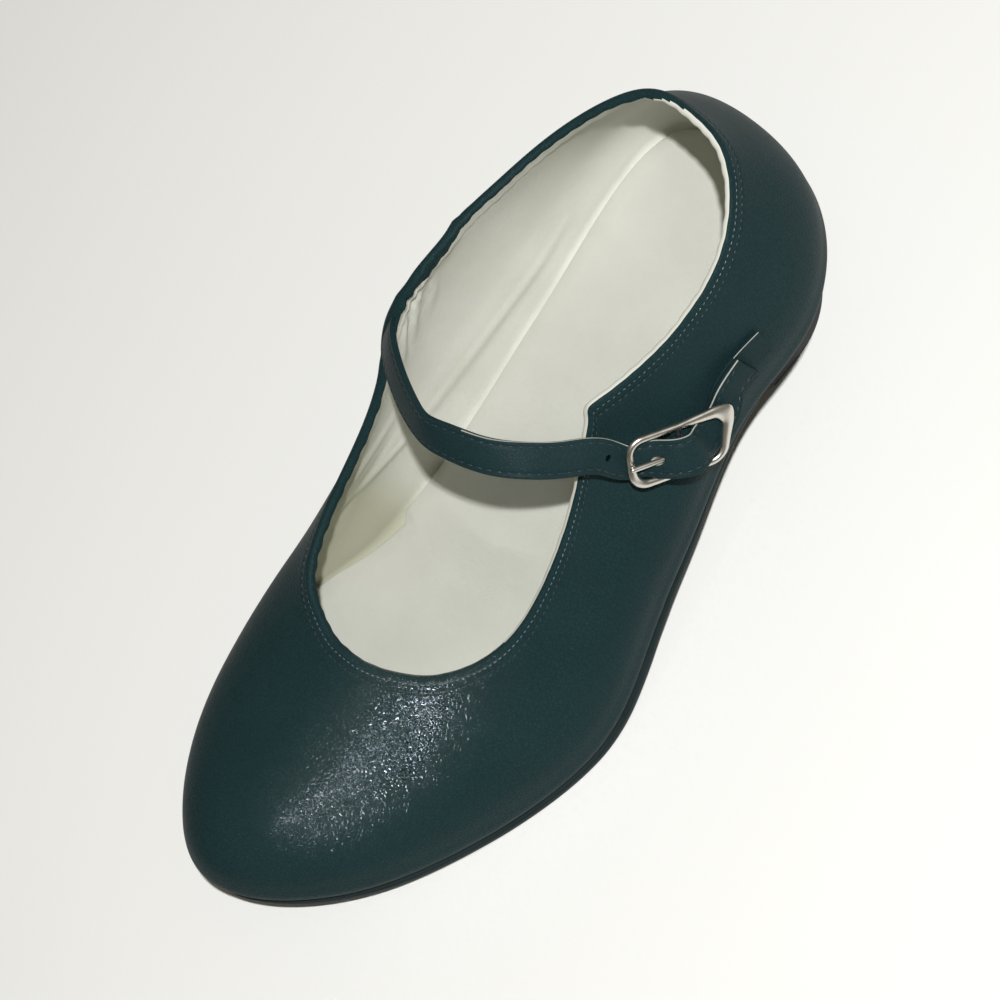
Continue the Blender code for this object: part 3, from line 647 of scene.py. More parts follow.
class Form:
    """The lasted form: a Bezier wall from the foot line to the topline, all the way round."""

    TURN_IN = 15.0
    RIM_PULL = 0.40
    SPACING = 0.75
    STEPS = ((2e-4, 0.0), (0.0, 2e-4))
    APART = 1000.0
    FINE_SHARES = np.linspace(1.0, 0.0, 160)
    RING = np.arange(2400) / 2400.0
    BACK_POINTS = 600

    def __init__(self) -> None:
        """Splines the wall sections round the foot line, spaced by a power of their distance."""
        rows = rows_of(SECTIONS)
        foot = rows[:, :2]
        reach = np.linalg.norm(np.roll(foot, -1, 0) - foot, axis=1) ** self.SPACING
        self.knots = np.concatenate([[0.0], np.cumsum(reach)])
        self.spline = Spline(self.knots, np.vstack([rows, rows[:1]]), Ends.CLOSED)

    def curves(self, u: Array) -> tuple[Array, Array, Array, Array, Array, Array]:
        """Bezier points of the wall at places round the shoe.

        Args:
            u: Places round the shoe from 0 to 1, from the heel back along the outer side.

        Returns:
            Foot, low handle, high handle and topline points; the plan's way out; the topline's way up.
        """
        value, slope = self.spline.read((u % 1.0) * self.knots[-1])
        foot_s, foot_x, rim_s, rim_x, rim_z, foot_lean, rim_lean, foot_pull = value.T[..., None]
        foot = np.hstack([foot_x, foot_s, tread_height(foot_s)])
        rim = np.hstack([rim_x, rim_s, rim_z])
        chord = np.linalg.norm(rim - foot, axis=1)[:, None]
        out = unit(slope[:, :2] * np.array([1.0, -1.0]))
        inward = unit(rim[:, :2] - foot[:, :2] - self.TURN_IN * out)
        foot_way, rim_way = leaning(out, foot_lean), leaning(inward, rim_lean)
        low = foot + foot_way * foot_pull * chord
        return foot, low, rim - rim_way * self.RIM_PULL * chord, rim, out, rim_way

    def skin(self, u: Array, share: Array) -> Array:
        """Points of the outer skin.

        Args:
            u: Places round the shoe.
            share: Shares of the wall from foot (0) to topline (1), one row for all columns or one row each.

        Returns:
            Points as columns, rows, x s z.
        """
        v = np.broadcast_to(np.atleast_2d(share), (len(u), np.atleast_2d(share).shape[1]))[..., None]
        w = 1.0 - v
        foot, low, high, rim = (p[:, None] for p in self.curves(u)[:4])
        return w ** 3 * foot + 3 * w ** 2 * v * low + 3 * w * v ** 2 * high + v ** 3 * rim

    def skin_normals(self, u: Array, share: Array) -> tuple[Array, Array]:
        """Points of the skin and its outward normals, by central differences both ways."""
        ways = [self.skin(u + d, share + e) - self.skin(u - d, share - e) for d, e in self.STEPS]
        return self.skin(u, share), unit(np.cross(*ways))

    def shares_at(self, u: Array, depth: Array) -> Array:
        """Wall shares that lie given distances below the topline, measured along the skin.

        Args:
            u: Places round the shoe.
            depth: Distances below the topline.

        Returns:
            Shares as columns, rows.
        """
        apart = self.APART * np.arange(len(u))[:, None]
        run = run_of(self.skin(u, self.FINE_SHARES)) + apart
        share = np.interp((depth[None] + apart).ravel(), run.ravel(), np.tile(self.FINE_SHARES, len(u)))
        return share.reshape(len(u), len(depth))

    def plan(self, u: Array, offset: float) -> Array:
        """The foot line moved out by an offset, as x, s."""
        foot, *_, out, _ = self.curves(u)
        return foot[:, :2] + out * offset

    def level(self, u: Array, inset: float, lift: float) -> Array:
        """Points of the foot line drawn in by an inset and raised by a lift."""
        plan = self.plan(u, -inset)
        return np.column_stack([plan, tread_height(plan[:, 1]) + lift])

    def side_lines(self, offset: float, s_from: Optional[float] = None) -> list[Array]:
        """Inner and outer edge of the foot line moved out by an offset, from the heel or a cut to the toe.

        Args:
            offset: How far out.
            s_from: Where the lines are cut, or None for whole lines.

        Returns:
            Both lines as x, s.
        """
        ring = self.plan(self.RING, offset)
        ring = np.roll(ring, -int(np.argmin(ring[:, 1])), 0)
        tip = int(np.argmax(ring[:, 1]))
        lines = [np.vstack([ring[tip:], ring[:1]])[::-1], ring[:tip + 1]]
        if s_from is None:
            return lines
        return [np.vstack([self.crossing(line, s_from), line[line[:, 1] > s_from]]) for line in lines]

    def crossing(self, line: Array, s: float) -> Array:
        """Point where a side line first crosses s."""
        back = line[:self.BACK_POINTS]
        return np.array([np.interp(s, back[:, 1], back[:, 0]), s])


def mesh_piece(name: str, points: Array, quads: Array, finishes: Sequence[Finish], caps: Sequence = (),
               face_finish: Optional[Array] = None, sharp: float = 60.0) -> Object:
    """One object from points in shoe millimetres: welded, turned outward, smooth but for sharp edges.

    Args:
        name: The piece's name.
        points: x, s, z along the last axis.
        quads: Vertex numbers, four along the last axis.
        finishes: Finishes of its material slots.
        caps: Vertex rings of other faces.
        face_finish: Slot of each face, or None for the first throughout.
        sharp: Degrees past which an edge stays sharp.

    Returns:
        The object, linked to the scene at the origin.
    """
    mesh = bpy.data.meshes.new(name)
    mesh.from_pydata(to_row(points.reshape(-1, 3)).tolist(), [], quads.reshape(-1, 4).tolist() + list(caps))
    for finish in finishes:
        mesh.materials.append(finish.make())
    if face_finish is not None:
        mesh.polygons.foreach_set("material_index", np.asarray(face_finish, np.int32))
    shell = bmesh.new()
    shell.from_mesh(mesh)
    bmesh.ops.remove_doubles(shell, verts=shell.verts, dist=WELD * MM)
    bmesh.ops.recalc_face_normals(shell, faces=shell.faces)
    shell.to_mesh(mesh)
    shell.free()
    mesh.shade_smooth()
    mesh.set_sharp_from_angle(angle=math.radians(sharp))
    obj = bpy.data.objects.new(name, mesh)
    bpy.context.scene.collection.objects.link(obj)
    return obj


def grid_faces(grid: Array, wrap: bool = False, first: int = 0) -> tuple[Array, list[list[int]]]:
    """Quads of a grid of points whose rings are closed, and its two end rings.

    Args:
        grid: Points as rings, corners, x s z.
        wrap: Whether the last ring joins the first.
        first: Number of the first vertex.

    Returns:
        Quads as rings, corners, four; and the vertices of the first and last ring.
    """
    index = first + np.arange(grid.size // 3).reshape(grid.shape[:2])
    ends = [index[0, ::-1].tolist(), index[-1].tolist()]
    if wrap:
        index = np.vstack([index, index[:1]])
    index = np.column_stack([index, index[:, 0]])
    return np.stack([index[:-1, :-1], index[1:, :-1], index[1:, 1:], index[:-1, 1:]], -1), ends


def dress(obj: Object, node: Optional[str] = None) -> None:
    """Puts a piece on the one body, and lets it stand for its CAD node.

    Args:
        obj: The piece.
        node: The CAD node, or None where the piece has none.
    """
    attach(obj, "root")
    if node:
        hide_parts(node)
    LOG.info("%s: %d faces", obj.name, len(obj.data.polygons))


class Wave(NamedTuple):
    """Slack in a skin: the product of two sines over a place, by their radians per millimetre."""

    high: float
    first: tuple[float, ...]
    second: tuple[float, ...]
    phase: float = 0.0

    def at(self, points: Array) -> Array:
        """Height of the wave at points."""
        return self.high * np.sin(points @ self.first) * np.sin(points @ self.second + self.phase)


class Ridge(NamedTuple):
    """A ridge (or dent, below zero) that runs round the skin at a distance below the topline."""

    at: float
    high: float
    wide: float

    def over(self, depth: Array) -> Array:
        """Height of the ridge, a bell over distances below the topline."""
        return self.high * bell(depth, self.at, self.wide)


# The rolled bead, the groove under it and the seam's dent, and the close rows of points that carry them
BEAD = Ridge(0.55, 0.28, 0.5)
GROOVE = Ridge(1.25, -0.16, 0.3)
SEAM = Ridge(3.2, -0.14, 0.45)
TOP_DEPTHS = np.concatenate([np.linspace(0.0, 4.2, 22), np.linspace(4.8, 8.0, 5)])
# Slack of the turned strip's edge, of the lining, of its crumples at the strap's root, and of the sock
STRIP_WAVE = Wave(0.6, (0.7, 1.1, 0.0), (-0.9, 0.43, 0.0))
LINING_WAVE = Wave(0.16, (0.0, 1 / 6.3, 1 / 9.0), (1 / 11.0, -1 / 14.0, 1 / 5.5))
ROOT_WAVE = Wave(0.4, (0.0, 1.5, 0.9), (0.0, -0.5, 1.2))
SOCK_WAVE = Wave(0.10, (1 / 7.0, 1 / 9.0), (1 / 10.0, 0.0), -0.6)


@dataclass
class Upper:
    """Vamp and quarters in one hollow shell: grained skin, rolled topline, lining and turned-in margin."""

    form: Form
    columns: int = 540
    skin_rows: int = 46
    skin_foot: float = 0.03
    lining_rows: int = 40
    lining_foot: float = 0.07
    crown_rows: int = 7
    seam_points: int = 1400
    lined_crown: int = 4
    turn_in: float = 0.3
    turn_x: float = -10.0
    turn_s: float = 128.0
    turn_soft: float = 3.0
    roll_in: float = 2.2
    roll_s: float = 68.0
    roll_wide: float = 8.5
    strip_high: float = 0.30
    strip_deep: float = 3.6
    strip_soft: float = 0.15
    root_s: float = 76.0
    root_wide: float = 8.0
    root_deep: float = 11.0
    ease_from: float = 1.0
    ease_over: float = 4.0
    margin: float = 7.0
    feather: float = 0.8
    corner_in: float = 0.2
    swell_high: float = 0.6
    swell_at: float = 2.6
    rim_crown: float = 0.75

    def wall(self, u: Array, foot_share: float, rows: int) -> tuple[Array, Array, Array]:
        """The skin from the topline to the foot: close rows first, then even ones.

        Args:
            u: Places round the shoe.
            foot_share: Wall share of the last row.
            rows: Even rows below the close ones.

        Returns:
            Points as columns, rows, x s z; their normals; and their distances below the topline.
        """
        top = self.form.shares_at(u, TOP_DEPTHS)
        step = np.linspace(0.0, 1.0, rows + 1)[1:]
        share = np.concatenate([top, top[:, -1:] + (foot_share - top[:, -1:]) * step], 1)
        skin, normal = self.form.skin_normals(u, share)
        return skin, normal, run_of(skin)

    @staticmethod
    def skin_relief(skin: Array, depth: Array) -> Array:
        """Relief of the skin at depths below the topline: bead, groove, the seam's dent, and folds."""
        ridges = sum(ridge.over(depth) for ridge in (BEAD, GROOVE, SEAM))
        return ridges + sum(fold.relief(skin) for fold in SKIN_FOLDS) - COLLAR_ROLL.relief(skin)

    def lining_relief(self, skin: Array, depth: Array) -> Array:
        """Relief of the lining: a turned strip under the topline, folds, slack, and crumples at the strap.

        Args:
            skin: Points of the skin.
            depth: Their distances below the topline.

        Returns:
            The relief towards the foot.
        """
        strip = self.strip_high * fall(depth, self.strip_deep, self.strip_soft)
        root = bell(skin[..., 1], self.root_s, self.root_wide) * bell(depth, 0.0, self.root_deep)
        crumple = root * (skin[..., 0] < 0) * ROOT_WAVE.at(skin)
        ease = np.clip((depth - self.ease_from) / self.ease_over, 0.0, 1.0)
        slack = LINING_WAVE.at(skin) + sum(fold.relief(skin) for fold in LINING_FOLDS)
        return strip * (1.0 + STRIP_WAVE.at(skin)) + ease * slack + crumple + COLLAR_ROLL.relief(skin)

    def build(self) -> None:
        """The closed shell: margin, skin up to the topline, half-round crown, lining down, margin again."""
        u = np.arange(self.columns) / self.columns
        skin, normal, depth = self.wall(u, self.skin_foot, self.skin_rows)
        swell = self.swell_high * bell(depth[:, -1:] - depth, self.swell_at, self.swell_at)
        outer = skin + normal * (self.skin_relief(skin, depth) + swell)[..., None]
        skin, normal, depth = self.wall(u, self.lining_foot, self.lining_rows)
        inner = skin - normal * (WALL + self.lining_relief(skin, depth))[..., None]
        turn = np.linspace(0.0, math.pi, self.crown_rows + 2)[None, 1:-1, None]
        middle = (outer[:, :1] + inner[:, :1]) / 2
        crown = middle + (outer[:, :1] - middle) * np.cos(turn)
        *_, rim_way = self.form.curves(u)
        crown = crown + rim_way[:, None] * np.sin(turn) * self.rim_crown
        low = [self.form.level(u, inset, 0.0) for inset in (self.margin, self.feather)]
        high = [self.form.level(u, inset, WALL) for inset in (WALL + self.corner_in, self.margin)]
        rows = np.concatenate([np.stack(low, 1), outer[:, ::-1], crown, inner, np.stack(high, 1)], 1)
        edge = len(low) + outer.shape[1] + self.crown_rows + self.turned_rows(skin[:, 0])
        kind = np.arange(rows.shape[1])[None] >= edge[:, None] - 1
        quads, _ = grid_faces(rows, wrap=True)
        obj = mesh_piece("upper_shell", rows, quads, [UPPER_LEATHER, LINING_SKIN], face_finish=kind.ravel(),
                         sharp=75.0)
        dress(obj, "upper")

    def turned_rows(self, rim: Array) -> Array:
        """Rows past the crown that are still leather: turned in at the inner side and throat, and rolled.

        Args:
            rim: Topline points.

        Returns:
            Whole numbers, below zero where the lining covers part of the crown.
        """
        inner = fall(rim[:, 0], self.turn_x, self.turn_soft)
        throat = fall(-rim[:, 1], -self.turn_s, self.turn_soft)
        wrap = np.maximum(inner, throat)
        depth = self.turn_in + self.roll_in * inner * bell(rim[:, 1], self.roll_s, self.roll_wide)
        rows = np.interp(depth, TOP_DEPTHS, np.arange(len(TOP_DEPTHS)))
        return np.rint(rows * wrap - self.lined_crown * (1.0 - wrap)).astype(int)

    def topline(self, depth: float) -> tuple[Array, Array]:
        """Closed line on the skin a distance below the topline, with the relief.

        Args:
            depth: Distance below the topline.

        Returns:
            Points and outward normals, the first repeated at the end.
        """
        u = np.linspace(0.0, 1.0, self.seam_points)
        skin, normal = self.form.skin_normals(u, self.form.shares_at(u, np.array([depth])))
        rise = self.skin_relief(skin, np.full(skin.shape[:2], depth))
        return (skin + normal * rise[..., None])[:, 0], normal[:, 0]


@dataclass(frozen=True)
class StitchRow:
    """A row of lockstitches: short thread beads that dive at both ends."""

    pitch: float = 1.7
    length: float = 1.2
    radius: float = 0.17
    lift: float = 0.09
    sink: float = 0.6
    stations: int = 7
    corners: int = 6

    def arrays(self, line: Array, face: Array) -> tuple[Array, Array]:
        """Beads along a line: round sections whose radius and lift follow a half sine over each stitch.

        Args:
            line: Points of the seam.
            face: Outward normals there.

        Returns:
            Points and quads of all stitches, numbered from nought.
        """
        run = run_of(line)
        count = int(run[-1] // self.pitch)
        t = np.linspace(0.0, 1.0, self.stations)
        at = (np.arange(count) + 0.5)[:, None] * (run[-1] / count) + (t - 0.5) * self.length
        centre = along(run, line, at)
        look = unit(along(run, face, at))
        side = unit(np.cross(unit(np.gradient(centre, axis=1)), look))
        swell = np.sin(math.pi * t)[None, :, None]
        turn = np.linspace(0.0, FULL_TURN, self.corners, endpoint=False)[:, None]
        round_way = side[:, :, None] * np.cos(turn) + look[:, :, None] * np.sin(turn)
        ring = centre[:, :, None] + (look * (swell - self.sink) * self.lift)[:, :, None]
        points = ring + round_way * self.radius * np.sqrt(swell)[..., None]
        index = np.arange(points.size // 3).reshape(count, self.stations, self.corners)
        ahead = np.roll(index, -1, 2)
        quads = np.stack([index[:, :-1], ahead[:, :-1], ahead[:, 1:], index[:, 1:]], -1)
        return points.reshape(-1, 3), quads.reshape(-1, 4)

    def sew(self, name: str, lines: Sequence[tuple[Array, Array]], thread: Finish) -> None:
        """One object with the stitches of all the lines.

        Args:
            name: The piece's name.
            lines: Points and normals of each seam.
            thread: Finish of the thread.
        """
        rows = [self.arrays(line, face) for line, face in lines]
        first = np.cumsum([0] + [len(points) for points, _ in rows])
        quads = [rings + used for (_, rings), used in zip(rows, first)]
        points = np.concatenate([points for points, _ in rows])
        dress(mesh_piece(name, points, np.concatenate(quads), [thread]))


BEAD_ROW = StitchRow(pitch=1.4, length=0.9, radius=0.12, lift=0.06)
STRAP_ROW = StitchRow(pitch=2.2, length=1.6, lift=0.08)
# Shares of the strap's length between which it is sewn
STRAP_SEWN = (0.02, 0.985)


class Layer(NamedTuple):
    """Edge of a plank at one level: offset from the foot line, and lift over it."""

    offset: float
    lift: float


# The sock and its board from the top face down, and the sole from under the upper to the ground
SOCK_FLOOR = WALL + GAP
SOCK_TOP = SOCK_FLOOR + 2.0
SOCK_LAYERS = (Layer(-2.6, SOCK_TOP), Layer(-2.25, SOCK_TOP - 0.15), Layer(-2.15, SOCK_TOP - 0.5),
               Layer(-2.6, SOCK_FLOOR))
SOLE_CUT = 44.0
SOLE_LAYERS = (Layer(0.4, -0.3), Layer(0.7, -0.45), Layer(0.85, -0.9), Layer(0.85, -2.0), Layer(0.6, -3.0),
               Layer(0.3, -3.45), Layer(0.0, -3.5))


@dataclass
class Plank:
    """A sole-shaped plank under the foot, from the heel or a straight cut to the toe.

    Its inner and outer edges can be trimmed in, most at one place and tapering out towards the toe.
    """

    form: Form
    name: str
    layers: tuple[Layer, ...]
    trim_in: Pair
    trim_from: float
    trim_end: float
    s_from: Optional[float] = None
    cup: float = 0.0
    cup_power: int = 6
    slack: Optional[Wave] = None
    stations: int = 150
    across: int = 16
    toe_ease: float = 1.15

    def edges(self, offset: float) -> Array:
        """Inner and outer edge points at the stations, eased towards round ends, and trimmed.

        Args:
            offset: Offset from the foot line.

        Returns:
            Points as side, station, x s.
        """
        ease = np.linspace(0.0, math.pi, self.stations)
        ease = (1 - np.cos(ease)) / 2 if self.s_from is None else np.sin(ease / 2) ** self.toe_ease
        lines = self.form.side_lines(offset, self.s_from)
        edge = np.stack([along(run_of(line), line, ease * run_of(line)[-1]) for line in lines])
        s = edge[..., 1]
        taper = np.clip((self.trim_end - s) / (self.trim_end - self.trim_from), 0.0, 1.0)
        edge[..., 0] += np.where(s >= self.trim_from, taper, 0.0) * np.array(self.trim_in)[:, None]
        return edge

    def build(self, finish: Finish, slot: str) -> None:
        """Rings across the plank, carried from heel to toe: top face, outer edge, underside, inner edge.

        The top face's edge curls up by a power of the distance from the middle line, with slow slack waves.

        Args:
            finish: Finish of the plank.
            slot: The record's slot and the CAD node that it stands for.
        """
        share = np.linspace(0.0, 1.0, self.across)[:, None]
        levels = []
        for layer in self.layers:
            inner, outer = self.edges(layer.offset)[:, :, None]
            plan = inner * (1 - share) + outer * share
            levels.append(np.concatenate([plan, (tread_height(plan[..., 1]) + layer.lift)[..., None]], -1))
        top = levels[0]
        top[..., 2] += self.cup * np.abs(2.0 * share[:, 0] - 1.0) ** self.cup_power
        if self.slack:
            top[..., 2] += self.slack.at(top[..., :2])
        outer = [level[:, -1:] for level in levels[1:-1]]
        inner = [level[:, :1] for level in levels[-2:0:-1]]
        rings = np.concatenate([top, *outer, levels[-1][:, ::-1], *inner], 1)
        quads, ends = grid_faces(rings)
        caps = [] if self.s_from is None else ends[:1]
        dress(mesh_piece(self.name, rings, quads, [finish], caps, sharp=50.0), slot)


@dataclass
class Heel:
    """Covered block heel: rings from the seat to the floor, hollowed, with a rubber top piece."""

    form: Form
    inset: float = 0.5
    back_inset: float = 1.8
    seat_middle: float = 22.0
    breast: float = 43.7
    breast_points: int = 14
    tip_share: float = 4.6 / 30.0
    groove_deep: float = 0.02
    groove_wide: float = 0.006
    groove_rows: Place = (-0.012, 0.0, 0.012)
    side_count: int = 70
    levels: int = 46

    def outline(self) -> Array:
        """Closed plan ring: round the back from the inner to the outer breast corner, then straight across.

        Returns:
            The ring as x, s.
        """
        lines = self.form.side_lines(-self.inset)
        inner, outer = (line[line[:, 1] < self.breast] for line in lines)
        first, last = (self.form.crossing(line, self.breast) for line in lines)
        loop = np.vstack([first, inner[::-1], outer[1:], last])
        run = run_of(loop)
        back = along(run, loop, np.linspace(0.0, run[-1], 2 * self.side_count))
        share = np.linspace(0.0, 1.0, self.breast_points)[1:-1, None]
        return np.vstack([back, last * (1 - share) + first * share])

    def build(self) -> None:
        """Plan rings narrowed by the splined heel rows; a fine groove parts the top piece off."""
        plan = self.outline()
        middle = float((plan[:, 0].min() + plan[:, 0].max()) / 2)
        inward = unit(np.array([middle, self.seat_middle]) - plan)
        plan = plan + inward * self.back_inset * (1.0 - plan[:, 1:] / self.breast)
        split = 1.0 - self.tip_share
        drop = np.concatenate([np.linspace(0.0, 1.0, self.levels), split + np.array(self.groove_rows)])
        drop = np.sort(drop)[:, None]
        table = rows_of(HEEL_ROWS)
        width, back_in, breast_in = Spline(table[:, 0], table[:, 1:]).read(drop[:, 0])[0].T[..., None]
        groove = 1.0 - self.groove_deep * bell(drop, split, self.groove_wide)
        run = plan[:, 1] / self.breast
        x = middle + (plan[:, 0] - middle) * (width * groove)
        s = plan[:, 1] + back_in * (1 - run) - breast_in * run
        rings = np.stack([x, s, (tread_height(plan[:, 1]) - GAP) * (1.0 - drop)], -1)
        quads, ends = grid_faces(rings)
        kind = np.broadcast_to(drop[:-1] >= split, quads.shape[:2]).ravel()
        obj = mesh_piece("heel_block", rings, quads, [UPPER_LEATHER, TIP_RUBBER], ends,
                         np.append(kind, [0, 1]), sharp=40.0)
        dress(obj, "heel")


@dataclass(frozen=True)
class BuckleAxes:
    """The buckle's place: its middle, the way to the strap's root end, and the way its face looks."""

    middle: Place = (34.7, 63.9, 50.5)
    toward_root: Place = (-0.334, 0.834, 0.439)
    looks: Place = (0.874, 0.060, 0.482)

    def axes(self) -> tuple[Array, Array, Array, Array]:
        """The buckle's own axes, square to each other.

        Returns:
            Middle, long, across and face vectors.
        """
        long = unit(np.array(self.toward_root))
        face = np.array(self.looks)
        face = unit(face - long * float(face @ long))
        side = np.cross(face, long)
        return np.array(self.middle), long, side if side[2] > 0 else -side, face

    def point(self, place: Any) -> Array:
        """Shoe x, s, z of places along, across and above the buckle."""
        middle, *axes = self.axes()
        return middle + np.asarray(place, float) @ np.array(axes)

    def band_rows(self, rows: Sequence[BuckleRow]) -> Array:
        """Buckle rows as band rows that look the way of the buckle's face."""
        points = self.point(rows_of(rows))
        return np.concatenate([points, np.broadcast_to(self.axes()[-1], points.shape)], 1)


BUCKLE = BuckleAxes()


def wire(line: Array, up: Array, radius: float | Array, corners: int) -> Array:
    """Rings of a wire: circles square to the line.

    Args:
        line: Middle points.
        up: The way of each ring's top, roughly.
        radius: Radius at each point, or one for all.
        corners: Points in a ring.

    Returns:
        Points as stations, corners, x s z.
    """
    travel = unit(np.gradient(line, axis=0))
    side = unit(np.cross(travel, np.broadcast_to(up, line.shape)))
    top = np.cross(side, travel)
    turn = np.linspace(0.0, FULL_TURN, corners, endpoint=False)[:, None]
    spoke = np.cos(turn) * side[:, None] + np.sin(turn) * top[:, None]
    return line[:, None] + spoke * np.broadcast_to(radius, len(line))[:, None, None]


@dataclass
class Band:
    """A cut leather band with rounded edges, a cushioned face and two stitch rows."""

    name: str
    rows: Array
    wide: float
    thick: float
    stations: int
    raw_from: float
    edge_round: float = 0.35
    edge_points: int = 6
    base_points: int = 9
    crown: float = 0.18
    crown_sink: float = 0.4
    seam_in: float = 1.15
    seam_deep: float = 0.12
    seam_wide: float = 0.35
    across: int = 31
    raw_in: float = 0.6
    raw_low: float = 0.25
    swell: float = 0.0
    swell_reach: float = 8.0

    def line(self) -> tuple[Array, Array, Array]:
        """Evenly spaced middle points of the splined rows; the side widens in a bell over the buckle's bar.

        Returns:
            Middle points, side vectors and face vectors.
        """
        knots = run_of(self.rows[:, :3])
        value, slope = Spline(knots, self.rows).read(np.linspace(0.0, knots[-1], self.stations))
        travel = unit(slope[:, :3])
        side = unit(np.cross(value[:, 3:], travel))
        middle, long, _, _ = BUCKLE.axes()
        spread = 1.0 + self.swell * bell((value[:, :3] - middle) @ long, 0.0, self.swell_reach)
        return value[:, :3], side * spread[:, None], np.cross(travel, side)

    def face_height(self, y: Array) -> Array:
        """Height of the outer face across the band: a low crown with a dent under each stitch row."""
        dent = self.seam_deep * bell(np.abs(y), self.wide / 2 - self.seam_in, self.seam_wide)
        return self.thick / 2 + self.crown * (1.0 - (2.0 * y / self.wide) ** 2 - self.crown_sink) - dent

    def section(self) -> tuple[Array, Array]:
        """Cross-section of the band: the face, round edges and a flat back.

        Returns:
            A ring (side, face), and which of its segments are the cut edge towards the heel.
        """
        r = self.edge_round
        flat = self.wide / 2 - r
        arc = np.linspace(0.0, math.pi / 2, self.edge_points)
        y = np.linspace(-flat, flat, self.across)
        top = np.stack([y, self.face_height(y)], 1)
        upper = np.stack([flat + r * np.sin(arc), top[-1, 1] - r + r * np.cos(arc)], 1)[1:]
        lower = np.stack([flat + r * np.cos(arc), r - self.thick / 2 - r * np.sin(arc)], 1)
        base = np.linspace([flat, -self.thick / 2], [-flat, -self.thick / 2], self.base_points)[1:-1]
        flip = np.array([-1.0, 1.0])
        ring = np.vstack([top, upper, lower, base, lower[::-1] * flip, upper[::-1] * flip])
        bare = (ring[:, 0] < self.raw_in * r - self.wide / 2) & (ring[:, 1] > -self.raw_low * self.thick)
        return ring, bare & np.roll(bare, -1)

    def build(self) -> Object:
        """The section carried along the line, its heel-side edge left raw, and both ends cut square.

        Returns:
            The band, not yet dressed.
        """
        line, side, face = self.line()
        ring, cut = self.section()
        points = line[:, None] + ring[:, :1] * side[:, None] + ring[:, 1:] * face[:, None]
        quads, ends = grid_faces(points)
        bare = np.arange(len(line) - 1) >= self.raw_from * len(line)
        kind = np.append(cut[None] & bare[:, None], [0, 0])
        return mesh_piece(self.name, points, quads, [STRAP_LEATHER, RAW_EDGE], ends, kind, sharp=40.0)

    def seam(self, way: int, span: Pair) -> tuple[Array, Array]:
        """Stitch line on the face near one edge.

        Args:
            way: +1 or -1 for the side.
            span: Shares of the band's length where the row starts and ends.

        Returns:
            Points and normals.
        """
        line, side, face = self.line()
        y = way * (self.wide / 2 - self.seam_in)
        keep = slice(*(int(share * len(line)) for share in span))
        return (line + side * y + face * float(self.face_height(np.array(y))))[keep], face[keep]


def punch(obj: Object, rings: Array, finish: Finish) -> None:
    """Takes a closed tube out of an object; the cut walls get the tube's finish.

    Args:
        obj: The object that is cut.
        rings: Points of the tube as stations, corners, x s z.
        finish: Finish of the cut walls.
    """
    quads, ends = grid_faces(rings)
    tool = mesh_piece("punch", rings, quads, [finish], ends)
    cut = obj.modifiers.new("punch", "BOOLEAN")
    cut.operation = "DIFFERENCE"
    cut.solver = "EXACT"
    cut.material_mode = "TRANSFER"
    cut.object = tool
    mesh = bpy.data.meshes.new_from_object(obj.evaluated_get(bpy.context.evaluated_depsgraph_get()))
    mesh.name = obj.name
    obj.modifiers.clear()
    obj.data = mesh
    bpy.data.objects.remove(tool, do_unlink=True)


